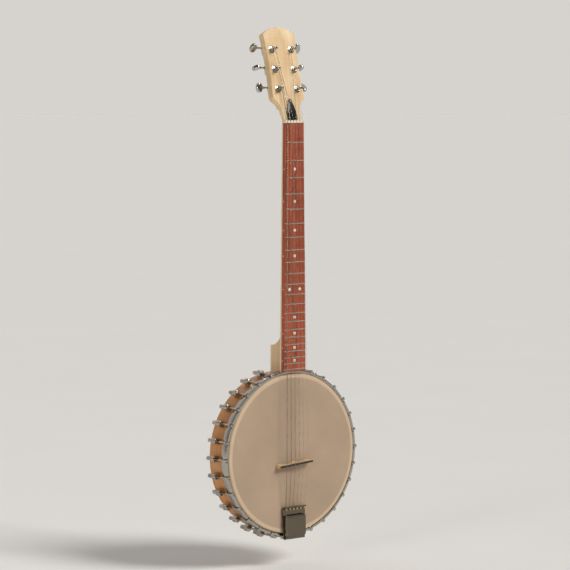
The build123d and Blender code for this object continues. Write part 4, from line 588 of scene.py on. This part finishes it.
# %% Bone, pearl and plastic
def bone():
    material, tree, shader, place = new_material(
        "bone", Coat_Weight=0.25, Coat_Roughness=0.2, Subsurface_Weight=0.2, Subsurface_Scale=0.001
    )
    flecks = put(tree, "ShaderNodeMapping", {"Vector": place, "Scale": (0.12, 1, 1)}).outputs[0]
    flecks = put(tree, "ShaderNodeTexNoise", {"Vector": flecks, "Scale": 2200.0, "Detail": 2.0}).outputs[0]
    colour = blend_colours(tree, spread(tree, flecks, 0.5, 0.75), rgb(0.86, 0.80, 0.66), rgb(0.70, 0.60, 0.42))
    edges = use_group(tree, EDGE_WEAR, Vector=place, Amount=0.6)
    # Painted shade and dust darken the hollows
    colour = blend_colours(tree, edges["Dust and shade"], colour, rgb(0.34, 0.24, 0.14))
    marks = use_group(tree, HANDLING, Vector=place, Clean=0.28, Smudged=0.44, Hairlines=0.4)
    tree.links.new(colour, shader.inputs["Base Color"])
    tree.links.new(marks["Roughness"], shader.inputs["Roughness"])
    return material


def pearl():
    material, tree, shader, place = new_material("pearl", Coat_Weight=0.6, Coat_Roughness=0.12)
    nacre = {"Vector": place, "Scale": 330.0, "Detail": 3.0, "Distortion": 1.6}
    layers = put(tree, "ShaderNodeTexNoise", nacre).outputs[0]
    drift = put(tree, "ShaderNodeTexNoise", {"Vector": place, "Scale": 120.0, "Detail": 1.0}).outputs[0]
    colour = blend_colours(tree, spread(tree, layers, 0.40, 0.62), rgb(0.90, 0.88, 0.80), rgb(0.66, 0.72, 0.68))
    colour = blend_colours(tree, spread(tree, drift, 0.50, 0.70, 0.0, 0.5), colour, rgb(0.88, 0.70, 0.66))
    marks = use_group(tree, HANDLING, Vector=place, Clean=0.14, Smudged=0.34, Hairlines=0.5)
    tree.links.new(colour, shader.inputs["Base Color"])
    tree.links.new(marks["Roughness"], shader.inputs["Roughness"])
    bump(tree, shader, layers, 0.00003, 0.3)
    return material


def black_plastic():
    material, tree, shader, place = new_material("black_plastic", Specular_IOR_Level=0.4)
    marks = use_group(tree, HANDLING, Vector=place, Clean=0.14, Smudged=0.36, Hairlines=0.9)
    edges = use_group(tree, EDGE_WEAR, Vector=place, Amount=0.6)
    touched = calc(tree, "MULTIPLY", marks["Film"], 0.3)
    colour = blend_colours(tree, touched, rgb(0.012, 0.012, 0.012), rgb(0.05, 0.045, 0.04))
    colour = blend_colours(tree, edges["Worn"], colour, rgb(0.09, 0.085, 0.08))
    tree.links.new(colour, shader.inputs["Base Color"])
    tree.links.new(marks["Roughness"], shader.inputs["Roughness"])
    bump(tree, shader, marks["Height"], 0.00002, 0.4)
    return material


def studio_floor():
    material, tree, shader, place = new_material("studio_floor", Specular_IOR_Level=0.05)
    mottle = put(tree, "ShaderNodeTexNoise", {"Vector": place, "Scale": 3.0, "Detail": 4.0}).outputs[0]
    colour = blend_colours(tree, mottle, rgb(0.824, 0.828, 0.826), rgb(0.854, 0.858, 0.856))
    tree.links.new(colour, shader.inputs["Base Color"])
    tree.links.new(spread(tree, mottle, 0.3, 0.7, 0.7, 0.85), shader.inputs["Roughness"])
    return material


materials = {
    "neck_maple": neck_maple, "rosewood": rosewood, "fret_wire": fret_wire, "pearl": pearl(),
    "bone": bone(), "rod_steel": rod_steel, "black_plastic": black_plastic(),
    "small_screws": small_screws, "rim_maple": rim_maple, "tone_ring_brass": tone_ring_brass,
    "drumhead": drumhead, "hoop_chrome": hoop_chrome, "hook_chrome": hook_chrome,
    "bridge_maple": bridge_maple, "bridge_ebony": bridge_ebony, "tail_chrome": tail_chrome,
    "wound_string": wound_string, "plain_string": plain_string, "ball_brass": ball_brass,
    "tuner_chrome": tuner_chrome,
}
floor.data.materials.append(studio_floor())

# %% [markdown]
# ## Dressing the solid pieces
# The record says which finish each piece takes, so the materials are handed out from it. The solid
# pieces arrive as loose triangles. A Weld modifier joins them, a narrow bevel breaks the sharp edges
# that no real piece has, and Edge Split keeps the flat faces flat while the round ones shade smoothly.

# %% Hand out materials and soften edges
BEVELS = {
    "fretboard": 0.25, "nut": 0.35, "truss_rod_cover": 0.35, "tension_hoop": 0.35, "bracket_shoes": 0.0,
    "bracket_hooks": 0.25, "hook_nuts": 0.25, "tailpiece_base": 0.25, "bridge": 0.4, "bridge_cap": 0.25,
    "tuner_bushings": 0.25, "tuner_washers": 0.15, "tuner_housings": 0.3, "tail_bolts": 0.2,
}
SMOOTH_UNDER = math.radians(34)

for row in frame["record"]["subparts"]:
    piece = nodes[row["node"]]
    piece.data.materials.clear()
    piece.data.materials.append(materials[row["material_slot"]])
    piece.data.polygons.foreach_set("use_smooth", [True] * len(piece.data.polygons))
    weld = piece.modifiers.new("weld", "WELD")
    weld.merge_threshold = 0.000004
    width = BEVELS.get(row["node"], 0.0)
    if width:
        bevel = piece.modifiers.new("broken edges", "BEVEL")
        bevel.width = width * MM
        bevel.segments = 2
        bevel.limit_method = "ANGLE"
        bevel.angle_limit = SMOOTH_UNDER
        bevel.use_clamp_overlap = True
    split = piece.modifiers.new("keep edges", "EDGE_SPLIT")
    split.split_angle = SMOOTH_UNDER

# %% [markdown]
# ## Modelling helpers
# Every new piece starts as a primitive of the right size in the right place, and is then shaped by the
# same tools that a person would use in edit mode. The helper below stands in for the mouse: it selects
# the faces, edges or corners whose place and direction pass a test.

# %% Selecting by place and direction
def start_edit(piece):
    """Makes one object active and opens it for editing."""
    bpy.ops.object.select_all(action="DESELECT")
    piece.select_set(True)
    bpy.context.view_layer.objects.active = piece
    bpy.ops.object.mode_set(mode="EDIT")


def pick(piece, kind, test):
    """In edit mode, selects only the elements whose centre and direction pass the test."""
    bpy.ops.mesh.select_mode(type=kind)
    bpy.ops.mesh.select_all(action="DESELECT")
    mesh = bmesh.from_edit_mesh(piece.data)
    chosen = 0
    for element in {"FACE": mesh.faces, "EDGE": mesh.edges, "VERT": mesh.verts}[kind]:
        if kind == "FACE":
            centre, way = element.calc_center_median(), element.normal
        elif kind == "EDGE":
            first, second = (corner.co for corner in element.verts)
            centre, way = (first + second) / 2, (second - first).normalized()
        else:
            centre, way = element.co, element.normal
        if test(centre, way):
            element.select_set(True)
            chosen += 1
    mesh.select_flush_mode()
    bmesh.update_edit_mesh(piece.data)
    return chosen


def apply_all(piece):
    """Applies every modifier of a piece, in order."""
    bpy.ops.object.select_all(action="DESELECT")
    piece.select_set(True)
    bpy.context.view_layer.objects.active = piece
    for modifier in list(piece.modifiers):
        bpy.ops.object.modifier_apply(modifier=modifier.name)


def settle(piece):
    """Puts a piece's place, turn and scale into its mesh, so that the object sits at the origin."""
    bpy.ops.object.select_all(action="DESELECT")
    piece.select_set(True)
    bpy.context.view_layer.objects.active = piece
    bpy.ops.object.transform_apply(location=True, rotation=True, scale=True)


# %% [markdown]
# ## The tailpiece cover
# The cover is stamped from one sheet of brass and plated. A stamping has soft corners, a panel that is
# pressed forward to stiffen it, and a fold down the middle of the panel that splits its reflection in two.
# Its lower edge is rolled round the hinge pin.
#
# The stock is a box of the cover's outer size. The back is removed, the front is set back, and then the
# panel is pressed forward again in two insets, so that nothing passes the front of the solid model.

# %% Cover: stamped tray
cover_low, cover_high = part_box("tailpiece_cover")
pin_low, pin_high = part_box("hinge_pin")
PIN = (pin_low + pin_high) / 2
KNUCKLE_RADIUS = PIN.z - cover_low.z
SHEET = 0.9 * MM
PANEL_RISE = 1.0 * MM
FOLD_RISE = 0.7 * MM
TRAY_CORNER = 3.5 * MM

tray_low = PIN.z + KNUCKLE_RADIUS + 0.3 * MM
tray_size = Vector((cover_high.x - cover_low.x, cover_high.y - cover_low.y, cover_high.z - tray_low))
cover_middle = (cover_low + cover_high) / 2
tray_centre = Vector((cover_middle.x, cover_middle.y, (tray_low + cover_high.z) / 2))
bpy.ops.mesh.primitive_cube_add(size=1, location=tray_centre, scale=tray_size)
cover = bpy.context.object
cover.name = "tailpiece_cover_shell"
settle(cover)

start_edit(cover)
pick(cover, "EDGE", lambda centre, way: abs(way.y) > 0.9)
bpy.ops.mesh.bevel(offset=TRAY_CORNER, segments=6, affect="EDGES")
pick(cover, "FACE", lambda centre, way: way.y > 0.9)
bpy.ops.mesh.delete(type="FACE")
pick(cover, "FACE", lambda centre, way: way.y < -0.9)
bpy.ops.transform.translate(value=(0, PANEL_RISE + FOLD_RISE, 0))
bpy.ops.mesh.inset(thickness=3.2 * MM, depth=0)
bpy.ops.mesh.inset(thickness=1.1 * MM, depth=PANEL_RISE)
panel_y = cover_low.y + FOLD_RISE
bpy.ops.mesh.bisect(plane_co=tray_centre, plane_no=(1, 0, 0))
folded = pick(
    cover, "VERT", lambda centre, way: abs(centre.x - tray_centre.x) < 0.1 * MM and abs(centre.y - panel_y) < 0.1 * MM
)
bpy.ops.transform.translate(value=(0, -FOLD_RISE, 0))
bpy.ops.object.mode_set(mode="OBJECT")
print("cover tray:", len(cover.data.polygons), "faces,", folded, "corners on the fold")

# %% [markdown]
# The knuckle is the same sheet, bent on round the pin. A narrow upright strip is the web, and its lower
# edge is spun most of a turn about the pin's axis. It stops short of closing, as a rolled edge does.

# %% Cover: rolled knuckle
ROLL_STEPS = 22
ROLL_TURN = math.radians(-300)
pin_room = 2.6 * MM
knuckle_length = (pin_high.x - pin_low.x) - 2 * pin_room
sheet_radius = KNUCKLE_RADIUS - SHEET / 2
web_tall = tray_low + SHEET / 2 - PIN.z
bpy.ops.mesh.primitive_plane_add(
    size=1, location=(PIN.x, PIN.y - sheet_radius, PIN.z + web_tall / 2), rotation=(math.pi / 2, 0, 0)
)
knuckle = bpy.context.object
knuckle.name = "cover_knuckle"
knuckle.scale = (knuckle_length, web_tall, 1)
settle(knuckle)
start_edit(knuckle)
pick(knuckle, "EDGE", lambda centre, way: abs(way.x) > 0.9 and centre.z < PIN.z + 0.1 * MM)
bpy.ops.mesh.spin(steps=ROLL_STEPS, angle=ROLL_TURN, center=PIN, axis=(1, 0, 0))
bpy.ops.mesh.select_all(action="SELECT")
bpy.ops.mesh.remove_doubles(threshold=0.00001)
bpy.ops.object.mode_set(mode="OBJECT")

for part, side in ((cover, -1.0), (knuckle, 0.0)):
    thick = part.modifiers.new("sheet", "SOLIDIFY")
    thick.thickness = SHEET
    thick.offset = side
    thick.use_even_offset = True
    soft = part.modifiers.new("pressed edges", "BEVEL")
    soft.width = 0.28 * MM
    soft.segments = 3
    soft.limit_method = "ANGLE"
    soft.angle_limit = math.radians(28)
    apply_all(part)

bpy.ops.object.select_all(action="DESELECT")
knuckle.select_set(True)
cover.select_set(True)
bpy.context.view_layer.objects.active = cover
bpy.ops.object.join()
start_edit(cover)
bpy.ops.mesh.select_all(action="SELECT")
bpy.ops.mesh.normals_make_consistent(inside=False)
bpy.ops.object.mode_set(mode="OBJECT")
bpy.ops.object.shade_smooth_by_angle(angle=math.radians(25))
cover.data.materials.clear()
cover.data.materials.append(materials["tail_chrome"])
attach(cover, "tail_cover_body")
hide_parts("tailpiece_cover")
corners = [vertex.co for vertex in cover.data.vertices]
for number, axis in enumerate("xyz"):
    shell_low, shell_high = min(v[number] for v in corners), max(v[number] for v in corners)
    print("cover", axis, round(shell_low, 5), "to", round(shell_high, 5),
          "and the solid's", round(cover_low[number], 5), "to", round(cover_high[number], 5))

# %% [markdown]
# ## The screws of the tuner knobs
# Each knob is held on its shaft by a small slotted screw in its outer end. The screw is turned on a lathe,
# so it starts as a cylinder. Its head is inset to leave a rim, two cuts mark out the slot, and the strip
# between them is sunk.

# %% One knob screw
SCREW_RADIUS = 1.6 * MM
SCREW_TALL = 1.1 * MM
SLOT_WIDE = 0.5 * MM
SLOT_DEEP = 0.45 * MM

bpy.ops.mesh.primitive_cylinder_add(
    vertices=40, radius=SCREW_RADIUS, depth=SCREW_TALL, location=(0, 0, SCREW_TALL / 2)
)
screw = bpy.context.object
screw.name = "knob_screw_1"
settle(screw)
start_edit(screw)
pick(screw, "FACE", lambda centre, way: way.z > 0.9)
bpy.ops.mesh.inset(thickness=0.22 * MM, depth=0)
for side in (-1, 1):
    pick(screw, "FACE", lambda centre, way: way.z > 0.9 and abs(centre.length - SCREW_TALL) < 0.5 * SCREW_RADIUS)
    bpy.ops.mesh.bisect(plane_co=(0, side * SLOT_WIDE / 2, 0), plane_no=(0, 1, 0))
pick(screw, "FACE", lambda centre, way: way.z > 0.9 and abs(centre.x) < 0.1 * MM and abs(centre.y) < 0.1 * MM)
bpy.ops.mesh.extrude_region_move(TRANSFORM_OT_translate={"value": (0, 0, -SLOT_DEEP)})
pick(screw, "EDGE", lambda centre, way: centre.xy.length > 0.95 * SCREW_RADIUS and centre.z > 0.9 * SCREW_TALL)
bpy.ops.mesh.bevel(offset=0.18 * MM, segments=3, affect="EDGES")
bpy.ops.mesh.select_all(action="SELECT")
bpy.ops.mesh.normals_make_consistent(inside=False)
bpy.ops.object.mode_set(mode="OBJECT")
bpy.ops.object.shade_smooth_by_angle(angle=math.radians(25))
print("knob screw:", len(screw.data.polygons), "faces")

# %% [markdown]
# The other five are copies, each with a mesh of its own. A screw's head stands a little proud of its knob.
# Its slot is left at a different angle on each, because a screw stops wherever it is tight.

# %% Place the six screws
SLOT_STEP = 0.9
KNOB_COUNT = 6
SCREW_PROUD = 0.5 * MM
screws = [screw]
for number in range(2, KNOB_COUNT + 1):
    bpy.ops.object.select_all(action="DESELECT")
    screw.select_set(True)
    bpy.context.view_layer.objects.active = screw
    bpy.ops.object.duplicate(linked=False)
    copy = bpy.context.object
    copy.name = f"knob_screw_{number}"
    screws.append(copy)

for number, piece in enumerate(screws, start=1):
    low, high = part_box(f"knob_{number}")
    centre = (low + high) / 2
    side = 1 if centre.x > 0 else -1
    tip = high.x if side > 0 else low.x
    outward = Matrix.Rotation(side * math.pi / 2, 3, "Y")
    slot_turn = Matrix.Rotation(number * SLOT_STEP, 3, "Z")
    piece.rotation_euler = (outward @ slot_turn).to_euler()
    piece.location = (tip + side * (SCREW_PROUD - SCREW_TALL), centre.y, centre.z)
    settle(piece)
    piece.data.materials.clear()
    piece.data.materials.append(materials["tuner_chrome"])
    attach(piece, f"knob_body_{number}")
print("knob screws placed:", len(screws))
